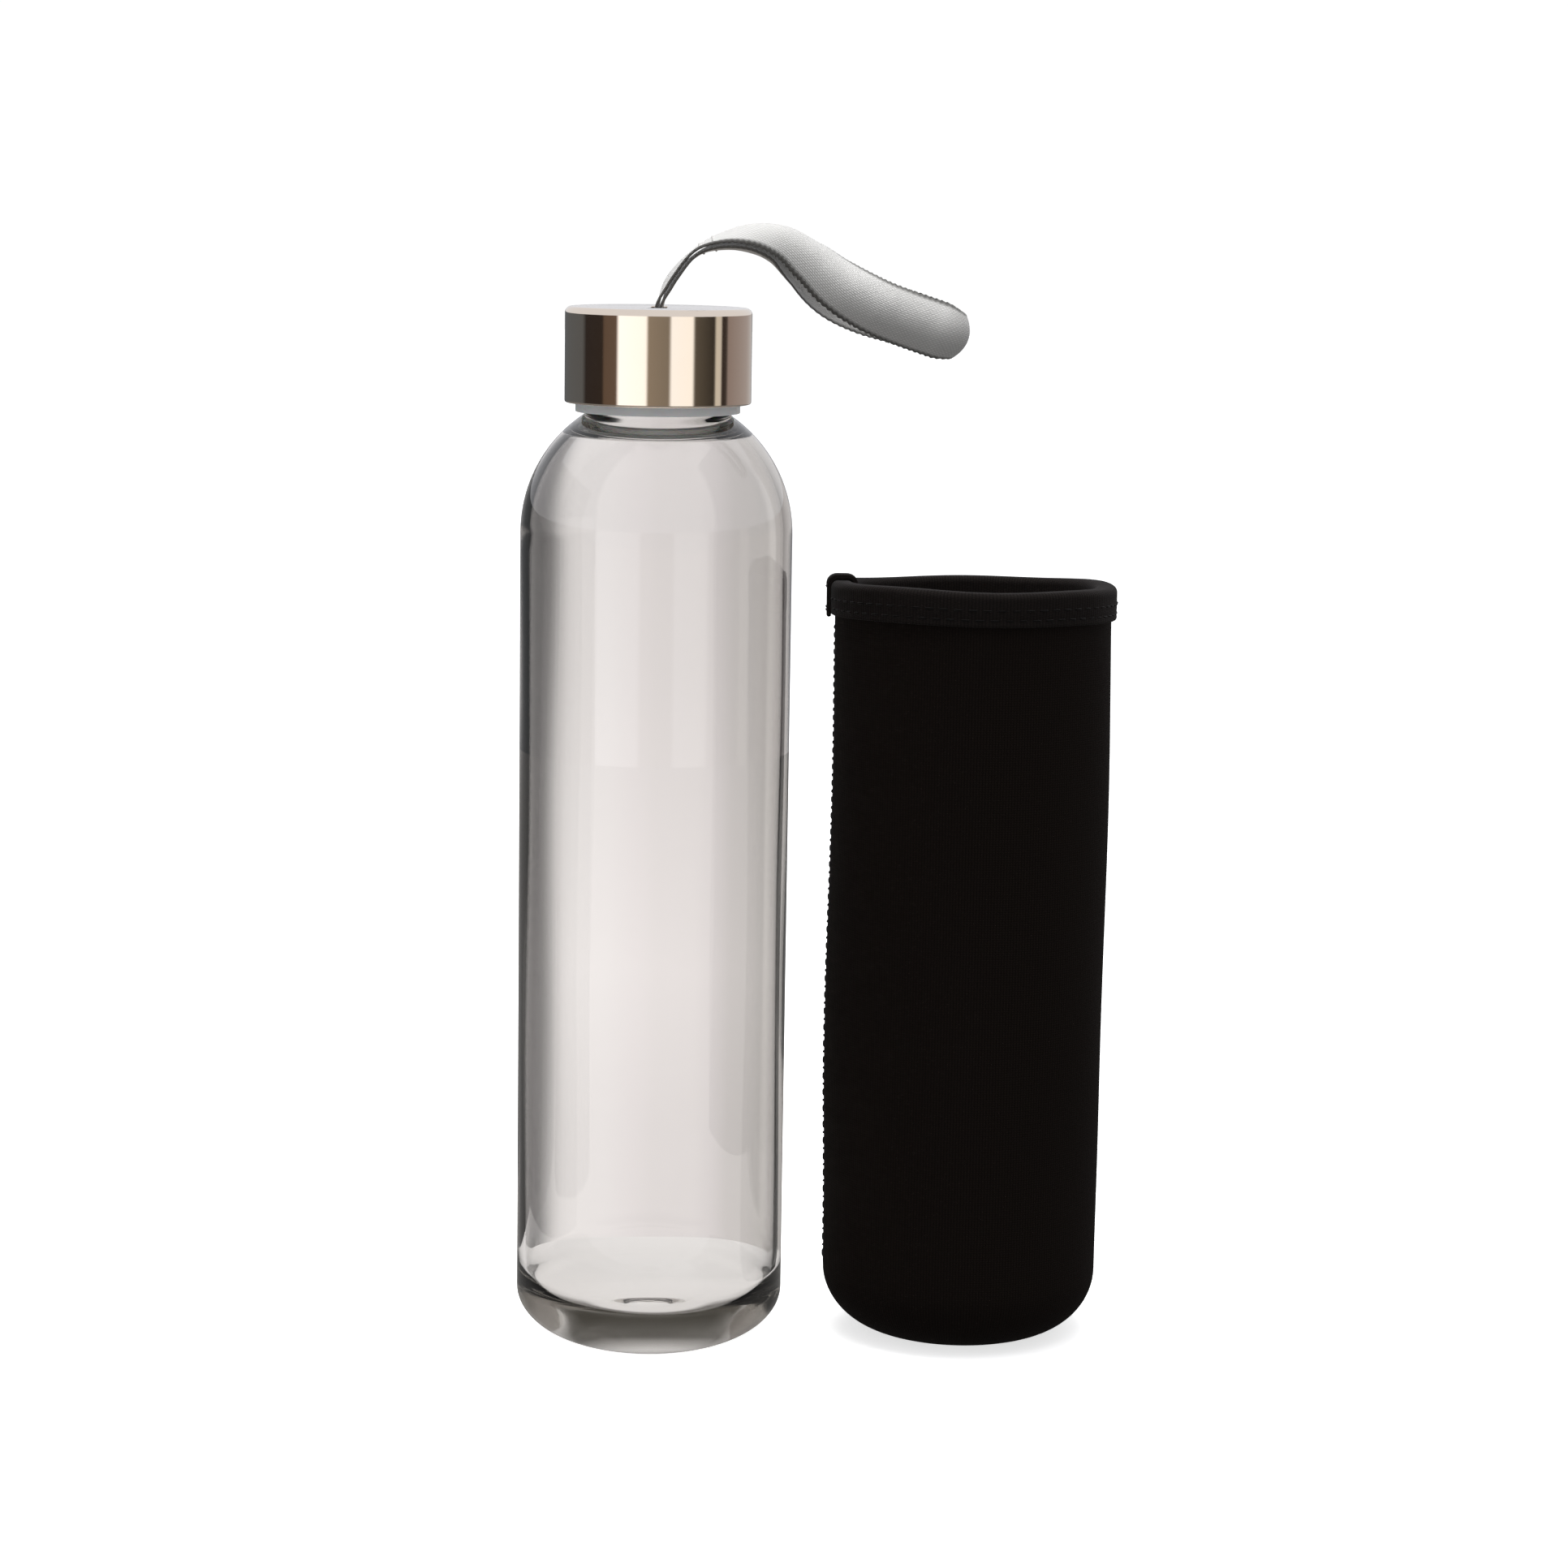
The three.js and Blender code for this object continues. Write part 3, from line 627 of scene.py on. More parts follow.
# The strap's middle line, as x and z from the line it swings about: up through the slot, over, and down.
strapLine = [
    (0, -9), (0, -5.75), (0, -2.9), (0.7, -0.4), (3.4, 4.6), (9, 10.2), (18.6, 12.7),
    (26.2, 11.4), (32.2, 7.2), (38.2, 2.4), (45.4, -1.2), (55, -4.4), (64.8, -7.6), (70, -9.3),
]


# A smooth curve through the points of a line, with its points a fixed step apart.
def smoothLine(points, step):
    p = np.array(points, float)
    made = []
    for k in range(1, len(p) - 2):
        a, b, c, d = p[k - 1:k + 3]
        knots = np.cumsum([0] + [np.linalg.norm(v) ** 0.5 for v in (b - a, c - b, d - c)])
        for t in np.linspace(knots[1], knots[2], 60, endpoint=False):
            mix = lambda low, high, first, second: ((high - t) * first + (t - low) * second) / (high - low)
            ab, bc, cd = (mix(knots[i], knots[i + 1], q, r)
                          for i, (q, r) in enumerate(((a, b), (b, c), (c, d))))
            abc, bcd = mix(knots[0], knots[2], ab, bc), mix(knots[1], knots[3], bc, cd)
            made.append(mix(knots[1], knots[2], abc, bcd))
    made = np.array(made)
    length = np.concatenate([[0], np.cumsum(np.linalg.norm(np.diff(made, axis=0), axis=1))])
    even = np.arange(0, length[-1], step)
    return even, np.stack([np.interp(even, length, made[:, k]) for k in range(2)], -1)


lineLengths, linePoints = smoothLine(strapLine, 0.1)
lineStart = np.interp(0, linePoints[:60, 1], lineLengths[:60])  # where the line passes the swing's height
lineEnd = lineLengths[-1]
lineSlopes = np.gradient(linePoints, lineLengths, axis=0)
lineSlopes /= np.linalg.norm(lineSlopes, axis=1)[:, None]


# The strap's own axes at lengths along it: its middle, and its lengthwise, widthwise and facing directions.
def strapAxes(along):
    at = np.clip(along + lineStart, 0, lineEnd)
    x, z = (np.interp(at, lineLengths, linePoints[:, k]) for k in range(2))
    tx, tz = (np.interp(at, lineLengths, lineSlopes[:, k]) for k in range(2))
    zero = np.zeros_like(x)
    middles = np.stack([strapRoot.x + x, strapRoot.y + zero, strapRoot.z + z], -1)
    lengthwise = np.stack([tx, zero, tz], -1)
    upward = np.stack([-tz, zero, tx], -1)
    sideways = np.stack([zero, zero + 1, zero], -1)
    twist = 90 * smoothstep(along, strap["twistStart"], strap["twistEnd"])
    twist = twist + strap["rootTwist"] * smoothstep(along, -2.4, 3) * (1 - smoothstep(along, 4, 14))
    c, s = np.cos(np.radians(twist))[:, None], np.sin(np.radians(twist))[:, None]
    return middles, lengthwise, sideways * c + upward * s, upward * c - sideways * s


def strapOutline():
    half = strap["pressed"] / 2
    run = half + strap["apart"]
    wrap = pinRadius + strap["clearance"] + half
    length = lineEnd - lineStart
    pinAt = pinCentre.z - strapRoot.z
    foldAt = length - strap["eyeHalf"] - half
    along = np.arange(pinAt, foldAt, strap["step"])
    opening = run + (strap["eyeHalf"] - run) * smoothstep(along / length, strap["eyeStart"], strap["eyeFull"])
    opening = opening + (wrap - run) * (1 - smoothstep(along, pinAt, pinAt + 2.8))
    folded = np.radians(np.linspace(90, -90, 34)[1:-1])
    wrapped = np.radians(np.linspace(-90, -270, 20)[1:-1])
    fold = np.stack([foldAt + strap["eyeHalf"] * np.cos(folded), strap["eyeHalf"] * np.sin(folded)], -1)
    root = np.stack([pinAt + wrap * np.cos(wrapped), wrap * np.sin(wrapped)], -1)
    upper = np.stack([along, opening], -1)
    lower = np.stack([along, -opening], -1)[::-1]
    return np.concatenate([upper, fold, lower, root])


# Where a point of the webbing is: across its width, and above its middle, at each place of the outline.
def onStrap(outline, across, above):
    slope = np.roll(outline, -1, 0) - np.roll(outline, 1, 0)
    slope /= np.linalg.norm(slope, axis=1)[:, None]
    outwards = np.stack([-slope[:, 1], slope[:, 0]], -1)
    middles, lengthwise, widthwise, facing = strapAxes(outline[:, 0])
    crown = strap["crown"] * smoothstep(outline[:, 0], 8, 36)
    share = 2 * across / strap["width"]
    lift = above + crown[:, None] * (1 - share ** 2)
    flat = outline[:, None] + outwards[:, None] * lift[..., None]
    extra = flat[..., 0] - outline[:, None, 0]
    return (middles[:, None] + lengthwise[:, None] * extra[..., None] + facing[:, None] * flat[..., 1:2]
            - widthwise[:, None] * across[..., None])


def makeStrap():
    outline = strapOutline()
    length = np.cumsum(np.linalg.norm(outline - np.roll(outline, 1, 0), axis=1))
    half, edge = strap["pressed"] / 2, strap["edge"]
    flat = np.linspace(-1, 1, 19)
    turn = np.radians(np.linspace(90, -90, 8)[1:-1])
    halfFlat = strap["width"] / 2 - edge
    beyond = edge / halfFlat * np.cos(turn)
    across = np.concatenate([flat, 1 + beyond, -flat, -1 - beyond])
    above = np.concatenate([np.ones(19), np.sin(turn), -np.ones(19), -np.sin(turn)]) * half
    bumps = strap["scallop"] * np.cos(2 * math.pi * length / strap["scallopPitch"])[:, None]
    bumps = bumps * smoothstep(outline[:, 0], 2, 12)[:, None]
    widths = across[None] * halfFlat + bumps * smoothstep(np.abs(across), 0.9, 1.02) * np.sign(across)
    foldFrom = lineEnd - lineStart - strap["eyeHalf"] - half
    pull = np.clip((outline[:, 0] - foldFrom) / strap["eyeHalf"], 0, 1)[:, None]
    widths = widths * np.sqrt(1 - strap["foldPull"] * pull ** 2)
    loose = smoothstep(outline[:, 0], 6, 20)[:, None]
    sag = 0.04 * loose * np.sin(length * 0.9)[:, None] * np.cos(across * 2.2)[None]
    points = onStrap(outline, widths, np.repeat(above[None], len(outline), 0) + sag)
    piece = gridPiece("carry_strap", points, wrapRows=True)
    # painted shade: the webbing's rounded edges are marked from 0 to 1, so that its finish can darken them in
    # place of the shade on its edge-on sides
    layer = piece.data.attributes.new("painted_edge_shade", "FLOAT", "POINT")
    edgeShadeMask = np.repeat(smoothstep(np.abs(across), 0.9, 1.0)[None], len(outline), 0)
    layer.data.foreach_set("value", edgeShadeMask.ravel().astype(np.float32))
    return piece


def webbingFinish():
    finish, tree, sockets = newMaterial("woven_satin", Sheen_Weight=0.25, Sheen_Roughness=0.4,
                                        Specular_IOR_Level=0.35)
    weave = useGroup(tree, threadFace, Place=clothPlace(tree), Threads=2.2, Floats=0.9, Stagger=0.5)
    life = useGroup(tree, surfaceLife, Place=objectPlace(tree), Broad=90.0, Fine=2600.0)
    yarn = blendColour(tree, weave["Gap"], (0.74, 0.73, 0.715), (0.4, 0.395, 0.38))
    shade = calc(tree, "MULTIPLY", life["Tone"], 0.35)
    cloth = blendColour(tree, shade, yarn, (0.62, 0.61, 0.59))
    # painted shade: the marked edges turn a near-black grey, standing in for the shade where the webbing is seen
    # edge-on and at its root
    painted_edge_shade = addNode(tree, "Attribute", outputs="Fac", attribute_name="painted_edge_shade")
    tree.links.new(blendColour(tree, painted_edge_shade, cloth, (0.1, 0.097, 0.09)), sockets["Base Color"])
    tree.links.new(calc(tree, "MULTIPLY_ADD", weave["Gap"], 0.3, 0.42), sockets["Roughness"])
    high = calc(tree, "MULTIPLY_ADD", life["Grain"], 0.25, weave["Height"])
    tree.links.new(addNode(tree, "Bump", Strength=0.5, Distance=0.00018, Height=high), sockets["Normal"])
    return finish


carryStrap = makeStrap()
wear(carryStrap, webbingFinish())
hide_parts("strap_tail", "strap_loop")
carryStrap.visible_glossy = False
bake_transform(carryStrap)
print("carry strap is made")

sewing = {"length": 2.3, "thread": 0.2, "rise": 0.26, "rings": 9, "sides": 8}


# One stitch lying along x with z up: a thread that comes out of the cloth, crosses it and goes back in.
def oneStitch(length):
    along = np.linspace(-1, 1, sewing["rings"])
    thick = sewing["thread"] * np.sqrt(np.clip(1 - along ** 8, 0, 1)).clip(0.05, 1)
    angle = np.linspace(0, 2 * math.pi, sewing["sides"], endpoint=False)
    height = sewing["rise"] * (1 - along ** 4) - sewing["thread"]
    y = thick[:, None] * np.cos(angle)
    z = height[:, None] + thick[:, None] * np.sin(angle)
    x = np.repeat((along * length / 2)[:, None], sewing["sides"], 1)
    return np.stack([x, y, z], -1)


# A row of stitches, each given by its middle, its direction and the cloth's outward direction there.
def stitchRow(name, places, length):
    grid = oneStitch(length)
    rings, sides = grid.shape[:2]
    flat = np.concatenate([grid.reshape(-1, 3), grid[:1].mean(1), grid[-1:].mean(1)])
    corners = []
    for i in range(rings - 1):
        for j in range(sides):
            k = (j + 1) % sides
            corners.append([i * sides + j, i * sides + k, (i + 1) * sides + k, (i + 1) * sides + j])
    last = (rings - 1) * sides
    for j in range(sides):
        k = (j + 1) % sides
        corners.append([rings * sides, j, k])
        corners.append([rings * sides + 1, last + k, last + j])
    points, faces = [], []
    for middlePoint, direction, outward in places:
        x = np.array(direction) / np.linalg.norm(direction)
        z = np.array(outward) - x * np.dot(outward, x)
        z /= np.linalg.norm(z)
        axes = np.stack([x, np.cross(z, x), z])
        offset = len(points) * len(flat)
        points.append(flat @ axes + np.array(middlePoint))
        faces += [[v + offset for v in c] for c in corners]
    piece = meshPiece(name, np.concatenate(points), faces)
    work = bmesh.new()
    work.from_mesh(piece.data)
    bmesh.ops.recalc_face_normals(work, faces=work.faces)
    work.to_mesh(piece.data)
    work.free()
    return piece


def sewingFinish(name, light, dark):
    finish, tree, sockets = newMaterial(name, Specular_IOR_Level=0.06)
    life = useGroup(tree, surfaceLife, Place=objectPlace(tree), Broad=500.0, Fine=5000.0)
    tree.links.new(blendColour(tree, life["Tone"], light, dark), sockets["Base Color"])
    tree.links.new(calc(tree, "MULTIPLY_ADD", life["Grain"], 0.3, 0.4), sockets["Roughness"])
    bump = addNode(tree, "Bump", Strength=0.4, Distance=0.0001, Height=life["Grain"])
    tree.links.new(bump, sockets["Normal"])
    return finish


# Two short rows across the webbing hold its two runs together beyond the cap.
def makeStrapStitches():
    outline = strapOutline()
    upperCount = len(outline) // 2 - 16
    face = strap["pressed"] / 2

    def lineOn(across, above):
        return onStrap(outline, np.full((len(outline), 1), across), np.full((len(outline), 1), above))[:, 0]

    places = []
    for target in (13.5, 16.5):
        for side in (1, -1):
            rows = outline if side > 0 else outline[::-1]
            nearest = int(np.argmin(np.abs(rows[:upperCount, 0] - target)))
            index = nearest if side > 0 else len(outline) - 1 - nearest
            for across in np.linspace(-4.6, 4.6, 5):
                here = lineOn(across, face)[index]
                beside = lineOn(across + 0.5, face)[index]
                under = lineOn(across, 0.0)[index]
                places.append((here, beside - here, here - under))
    return stitchRow("strap_stitches", places, 2.0)


strapStitches = makeStrapStitches()
wear(strapStitches, sewingFinish("strap_thread", (0.62, 0.61, 0.59), (0.42, 0.41, 0.40)))
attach(strapStitches, "strap")
print("strap is sewn")

sleeve = {"wall": 3, "depth": 0.95, "heelWidth": 15.7, "heelHeight": 14.4, "sag": 2.4, "sagFrom": 100,
          "clearance": 0.3, "unevenness": 0.28, "rimWave": 0.25, "sides": 192}
hem = {"height": 7.6, "outer": 0.9, "inner": 0.8, "top": 1, "round": 0.55, "bend": 1.6, "pucker": 0.14,
       "stitchUp": 1.5}
tab = {"width": 5, "thickness": 0.9, "overhang": 0.8, "hump": 0.25, "swell": 1.1, "sunk": 0.2}
sleeveRadius = (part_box("sleeve_body")[1].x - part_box("sleeve_body")[0].x) / 2 / mm
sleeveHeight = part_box("sleeve_body")[1].z / mm
stitchCount = 64


# Takes a round sleeve to its place: a little oval, soft in its outline, and lower at the back of its rim.
def sleeveShape(angle, radius, height):
    s = sleeve
    soft = (np.sin(2 * angle + height / 38) + 0.7 * np.sin(3 * angle - height / 24 + 1)
            + 0.4 * np.sin(5 * angle + height / 15))
    free = smoothstep(height, 14, 60)
    radius = radius + s["unevenness"] * soft * free * smoothstep(radius, 10, 25)
    x, y = radius * np.cos(angle), radius * np.sin(angle)
    back = (y / sleeveRadius + 1) / 2
    lift = np.clip((height - s["sagFrom"]) / (sleeveHeight - s["sagFrom"]), 0, 1.2)
    rim = s["rimWave"] * (np.sin(2 * angle + 0.6) + 0.6 * np.sin(5 * angle - 0.4)) * lift ** 6
    place = np.stack([x, y * s["depth"], height - s["sag"] * back * lift + rim], -1)
    return place + np.array([sleeveAxis.x, sleeveAxis.y, 0]) / mm


def sleevePiece(name, profile, sides, bend=None, closed=True):
    rings = turnedRings(profile, sides, bend)
    return closePoles(gridPiece(name, sleeveShape(*rings), wrapRows=closed))


def makeSleeveWall():
    s = sleeve
    outer, inner = sleeveRadius, sleeveRadius - s["wall"]
    foot = outer - s["heelWidth"]
    heel = (s["heelWidth"], s["heelHeight"])
    innerHeel = (heel[0] - s["wall"], heel[1] - s["wall"])
    profile = [
        *arc((foot, heel[1]), heel, -90, 0, 20)[:-1],
        *straight((outer, heel[1]), (outer, sleeveHeight - 0.5), 60),
        *arc((outer - 0.5, sleeveHeight - 0.5), (0.5, 0.5), 0, 90, 4),
        *arc((inner + 0.5, sleeveHeight - 0.5), (0.5, 0.5), 90, 180, 4)[:-1],
        *straight((inner, sleeveHeight - 0.5), (inner, heel[1]), 60),
        *arc((foot, heel[1]), innerHeel, 0, -90, 16),
    ]

    def bend(angle, radius, height):
        # the cloth draws in over the foot's seam, and dips at the side seam
        seam = np.exp(-((np.mod(angle, 2 * math.pi) - math.pi) * sleeveRadius / 1.1) ** 2)
        outside = smoothstep(radius, inner + 1, outer)
        dip = 0.35 * seam * outside * smoothstep(height, 3, 12)
        drawn = 0.35 * np.exp(-((radius - foot) / 1.2) ** 2) * (height < 1)
        return radius - dip, height + drawn

    return sleevePiece("sleeve_wall", profile, s["sides"] * 2, bend)


def makeSleeveFoot():
    radius = sleeveRadius - sleeve["heelWidth"] - sleeve["clearance"]
    wall = sleeve["wall"]
    profile = [[0, 0.25], *[[r, 0.25 * (1 - (r / radius) ** 4)] for r in np.linspace(2, radius - 1.2, 8)],
               *arc((radius - 1, 1), (1, 1), -84, 0, 6), *arc((radius - 1, wall - 1), (1, 1), 0, 90, 6),
               *[[r, wall] for r in np.linspace(radius - 2, 2, 8)], [0, wall]]
    return sleevePiece("sleeve_foot", profile, 128, closed=False)


def hemProfile(grow=0.0):
    h = hem
    gap = sleeve["clearance"]
    outer = sleeveRadius + gap + h["outer"] + grow
    inner = sleeveRadius - sleeve["wall"] - gap - h["inner"] - grow
    top = sleeveHeight + gap + h["top"] + grow
    bottom = sleeveHeight + gap + h["top"] - h["height"]
    return outer, inner, top, bottom


# The binding: a tape folded over the rim, drawn in a little by each stitch.
def makeSleeveBinding():
    h = hem
    gap = sleeve["clearance"]
    outer, inner, top, bottom = hemProfile()
    wallOut, wallIn, wallTop = sleeveRadius + gap, sleeveRadius - sleeve["wall"] - gap, sleeveHeight + gap
    roundOut = h["bend"]
    profile = [
        *straight((wallOut, bottom + h["round"]), (wallOut, bottom + 0.2), 1),
        *arc((outer - 0.4, bottom + 0.4), (0.4, 0.4), -90, 0, 5)[:-1],
        *straight((outer, bottom + 0.4), (outer, top - roundOut), 16),
        *arc((outer - roundOut, top - roundOut), (roundOut, roundOut), 0, 90, 7),
        *arc((inner + roundOut, top - roundOut), (roundOut, roundOut), 90, 180, 7)[:-1],
        *straight((inner, top - roundOut), (inner, bottom + 0.4), 16),
        *arc((inner + 0.4, bottom + 0.4), (0.4, 0.4), 180, 270, 4),
        [wallIn, bottom + 0.2], [wallIn, wallTop - 0.4], [wallIn + 0.4, wallTop], [wallOut - 0.4, wallTop],
        [wallOut, wallTop - 0.4],
    ]

    def bend(angle, radius, height):
        outside = smoothstep(radius, wallOut, outer)
        row = np.exp(-((height - bottom - h["stitchUp"]) / 0.7) ** 2)
        tuft = 0.5 + 0.5 * np.cos(stitchCount * angle)
        soft = 0.12 * np.sin(9 * angle + 1) + 0.08 * np.sin(17 * angle)
        return radius - h["pucker"] * row * (0.6 + 0.4 * tuft) * outside + soft * 0.5 * outside, height

    return sleevePiece("sleeve_binding", profile, stitchCount * 6, bend)


# The binding's overlap: a short tape folded over the hem on the side nearest the bottle.
def makeSleeveTab():
    grow = tab["thickness"] / 2 - tab["sunk"]
    outer, inner, top, bottom = hemProfile(grow)
    lowest = bottom - tab["overhang"]
    bow = (tab["width"] / 2) ** 2 / (2 * (sleeveRadius - sleeve["wall"]))
    inner = inner - bow
    bend, hump = hem["bend"] + grow, tab["hump"]
    path = np.array([
        *straight((outer, lowest), (outer, top - bend), 22),
        *arc((outer - bend, top - bend), (bend, bend + hump), 0, 90, 10)[:-1],
        *straight((outer - bend, top + hump), (inner + bend, top + hump), 6),
        *arc((inner + bend, top - bend), (bend, bend + hump), 90, 180, 10)[:-1],
        *straight((inner, top - bend), (inner, lowest), 22), [inner, lowest],
    ])
    slope = np.gradient(path, axis=0)
    slope /= np.linalg.norm(slope, axis=1)[:, None]
    outwards = np.stack([slope[:, 1], -slope[:, 0]], -1)
    half, edge = tab["thickness"] / 2, 0.4
    flat = np.linspace(-1, 1, 11)
    turn = np.radians(np.linspace(90, -90, 7)[1:-1])
    reach = edge / (tab["width"] / 2 - edge)
    across = np.concatenate([flat, 1 + reach * np.cos(turn), -flat, -1 - reach * np.cos(turn)])
    above = np.concatenate([np.ones(11), np.sin(turn), -np.ones(11), -np.sin(turn)]) * half
    shrink = np.ones(len(path))
    shrink[[0, -1]] = 0.0
    shrink[[1, -2]] = 0.86
    across = across[None] * (tab["width"] / 2 - edge) * np.where(shrink, 0.85 + 0.15 * shrink, 0.0)[:, None]
    swell = 1 + tab["swell"] * smoothstep(path[:, 1], top - 2.2, top)[:, None]
    above = above[None] * shrink[:, None]
    above = np.where(above > 0, above * swell, above)
    radial = path[:, None, 0] + outwards[:, None, 0] * above
    height = path[:, None, 1] + outwards[:, None, 1] * above
    angle = math.pi + across / np.maximum(radial, 1)
    return closePoles(gridPiece("sleeve_tab", sleeveShape(angle, radial, height)))


# The seam allowance inside the wall: a soft strip, a little wavy along its free edge.
def makeSideSeam():
    low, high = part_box("sleeve_side_seam")
    bottom, top = low.z / mm, high.z / mm
    inner = sleeveRadius - sleeve["wall"] - sleeve["clearance"]
    depth, width = 1.8, 1.6
    section = eased([[0, -width / 2], [depth, -width / 2], [depth, width / 2], [0, width / 2]], 0.45, 4)
    heights = np.linspace(bottom, top, 90)
    ends = np.clip(np.minimum(heights - bottom, top - heights) / 1.2, 0, 1) ** 0.5
    radial, across = [], []
    for height, size in zip(heights, ends):
        sway = 0.18 * math.sin(height / 5) + 0.1 * math.sin(height / 2.3)
        radial.append([inner - depth / 2 - (r - depth / 2) * size for r, _ in section])
        across.append([w * size + sway * (r / depth) for r, w in section])
    radial, across = np.array(radial), np.array(across)
    height = np.repeat(heights[:, None], len(section), 1)
    return closePoles(gridPiece("sleeve_seam", sleeveShape(math.pi + across / inner, radial, height)))


# Knitted nylon over foam rubber.
def neopreneFinish():
    finish, tree, sockets = newMaterial("knit_neoprene", Specular_IOR_Level=0.05, Sheen_Weight=0.004,
                                        Sheen_Roughness=0.5)
    knit = useGroup(tree, threadFace, Place=clothPlace(tree), Threads=1.5, Floats=1.9, Stagger=0.0, Vee=0.5)
    life = useGroup(tree, surfaceLife, Place=objectPlace(tree), Broad=35.0, Fine=1800.0)
    yarn = blendColour(tree, knit["Gap"], (0.0135, 0.0094, 0.0076), (0.003, 0.0021, 0.0017))
    worn = calc(tree, "MULTIPLY", life["Tone"], 0.5)
    tree.links.new(blendColour(tree, worn, yarn, (0.0078, 0.0056, 0.0047)), sockets["Base Color"])
    tree.links.new(calc(tree, "MULTIPLY_ADD", life["Grain"], 0.2, 0.72), sockets["Roughness"])
    high = calc(tree, "MULTIPLY_ADD", life["Grain"], 0.3, knit["Height"])
    tree.links.new(addNode(tree, "Bump", Strength=0.45, Distance=0.0002, Height=high), sockets["Normal"])
    return finish


def bindingFinish():
    finish, tree, sockets = newMaterial("ribbed_binding", Specular_IOR_Level=0.08, Sheen_Weight=0.006)
    ribs = useGroup(tree, threadFace, Place=clothPlace(tree), Threads=1.3, Floats=2.6, Stagger=0.33)
    life = useGroup(tree, surfaceLife, Place=objectPlace(tree), Broad=60.0, Fine=2000.0)
    yarn = blendColour(tree, ribs["Gap"], (0.0125, 0.009, 0.0078), (0.0026, 0.002, 0.0018))
    worn = calc(tree, "MULTIPLY", life["Tone"], 0.4)
    tree.links.new(blendColour(tree, worn, yarn, (0.0076, 0.0062, 0.0054)), sockets["Base Color"])
    tree.links.new(calc(tree, "MULTIPLY_ADD", ribs["Gap"], 0.2, 0.6), sockets["Roughness"])
    bump = addNode(tree, "Bump", Strength=0.5, Distance=0.0002, Height=ribs["Height"])
    tree.links.new(bump, sockets["Normal"])
    return finish


def wallPlace(angle, radius, height):
    return sleeveShape(np.array([float(angle)]), np.array([float(radius)]), np.array([float(height)]))[0]


# A stitch place on the sleeve, from two points it runs between and a point under the cloth.
def sleeveStitch(first, second, inside):
    a, b, c = wallPlace(*first), wallPlace(*second), wallPlace(*inside)
    return ((a + b) / 2, b - a, (a + b) / 2 - c)


def makeHemStitches():
    outer, _, _, bottom = hemProfile()
    places = []
    for row, shift in ((hem["stitchUp"], 0.0), (hem["stitchUp"] + 2.2, 0.5)):
        height = bottom + row
        for k in range(stitchCount):
            angle = 2 * math.pi * (k + shift) / stitchCount
            clear = abs((angle % (2 * math.pi)) - math.pi) * outer > tab["width"] / 2 + 1.4
            reach = 1.1 / outer
            surface = outer - (hem["pucker"] if row < 2 else 0.0)
            if clear:
                places.append(sleeveStitch((angle - reach, surface, height), (angle + reach, surface, height),
                                           (angle, surface - 1, height)))
    return stitchRow("hem_stitches", places, sewing["length"])


# Flat seam down the side nearest the bottle: threads that cross the join from side to side.
def makeSeamStitches():
    top = hemProfile()[3] - 1.2
    surface = sleeveRadius
    places = []
    heights = np.arange(sleeve["heelHeight"] + 2, top, 1.9)
    for k, height in enumerate(heights):
        lean = 0.5 if k % 2 else -0.5
        reach = 1.5 / surface
        first = (math.pi - reach, surface, height - lean)
        second = (math.pi + reach, surface, height + lean)
        places.append(sleeveStitch(first, second, (math.pi, surface - 1, height)))
    return stitchRow("seam_stitches", places, 3.2)


# Threads across the join between the foot and the wall.
def makeFootStitches():
    join = sleeveRadius - sleeve["heelWidth"] - sleeve["clearance"] / 2
    places = []
    for k in range(46):
        angle = 2 * math.pi * k / 46
        swing = 0.02 if k % 2 else -0.02
        places.append(sleeveStitch((angle - swing, join - 1.2, 0.36), (angle + swing, join + 1.2, 0.36),
                                   (angle, join, 1.4)))
    return stitchRow("foot_stitches", places, 2.6)


# A bar of close stitches that holds the tab's outer end.
def makeTabStitches():
    outer, _, _, bottom = hemProfile(tab["thickness"] - tab["sunk"])
    places = []
    for height in (bottom + 0.9, bottom + 1.6, bottom + 6.2):
        for side in (-1.15, 1.15):
            angle = math.pi + side / outer
            reach = 0.9 / outer
            places.append(sleeveStitch((angle - reach, outer, height), (angle + reach, outer, height),
                                       (angle, outer - 1, height)))
    return stitchRow("tab_stitches", places, 1.9)


neoprene, binding = neopreneFinish(), bindingFinish()
blackThread = sewingFinish("black_thread", (0.0045, 0.0036, 0.0032), (0.002, 0.0016, 0.0014))
for piece, finish, slotName, node in (
        (makeSleeveWall(), neoprene, "neoprene", "sleeve_body"),
        (makeSleeveFoot(), neoprene, "neoprene", "sleeve_base"),
        (makeSleeveBinding(), binding, "binding", "sleeve_hem"),
        (makeSleeveTab(), binding, "binding", "sleeve_hem_tab"),
        (makeSideSeam(), neoprene, "neoprene", "sleeve_side_seam"),
        (makeHemStitches(), blackThread, "binding", None),
        (makeSeamStitches(), blackThread, "neoprene", None),
        (makeFootStitches(), blackThread, "neoprene", None),
        (makeTabStitches(), blackThread, "binding", None)):
    wear(piece, finish)
    piece.visible_glossy = False
    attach(piece, "sleeve")
    if node:
        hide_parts(node)
print("sleeve is made and sewn")

studio = {"ringRadius": 900, "ringHeight": 250, "panelBehind": 62, "panelHalf": 120, "panelHeight": 260,
          "panelReach": 90, "wing": 130, "floorReach": 6000, "floorDrop": 0.3}
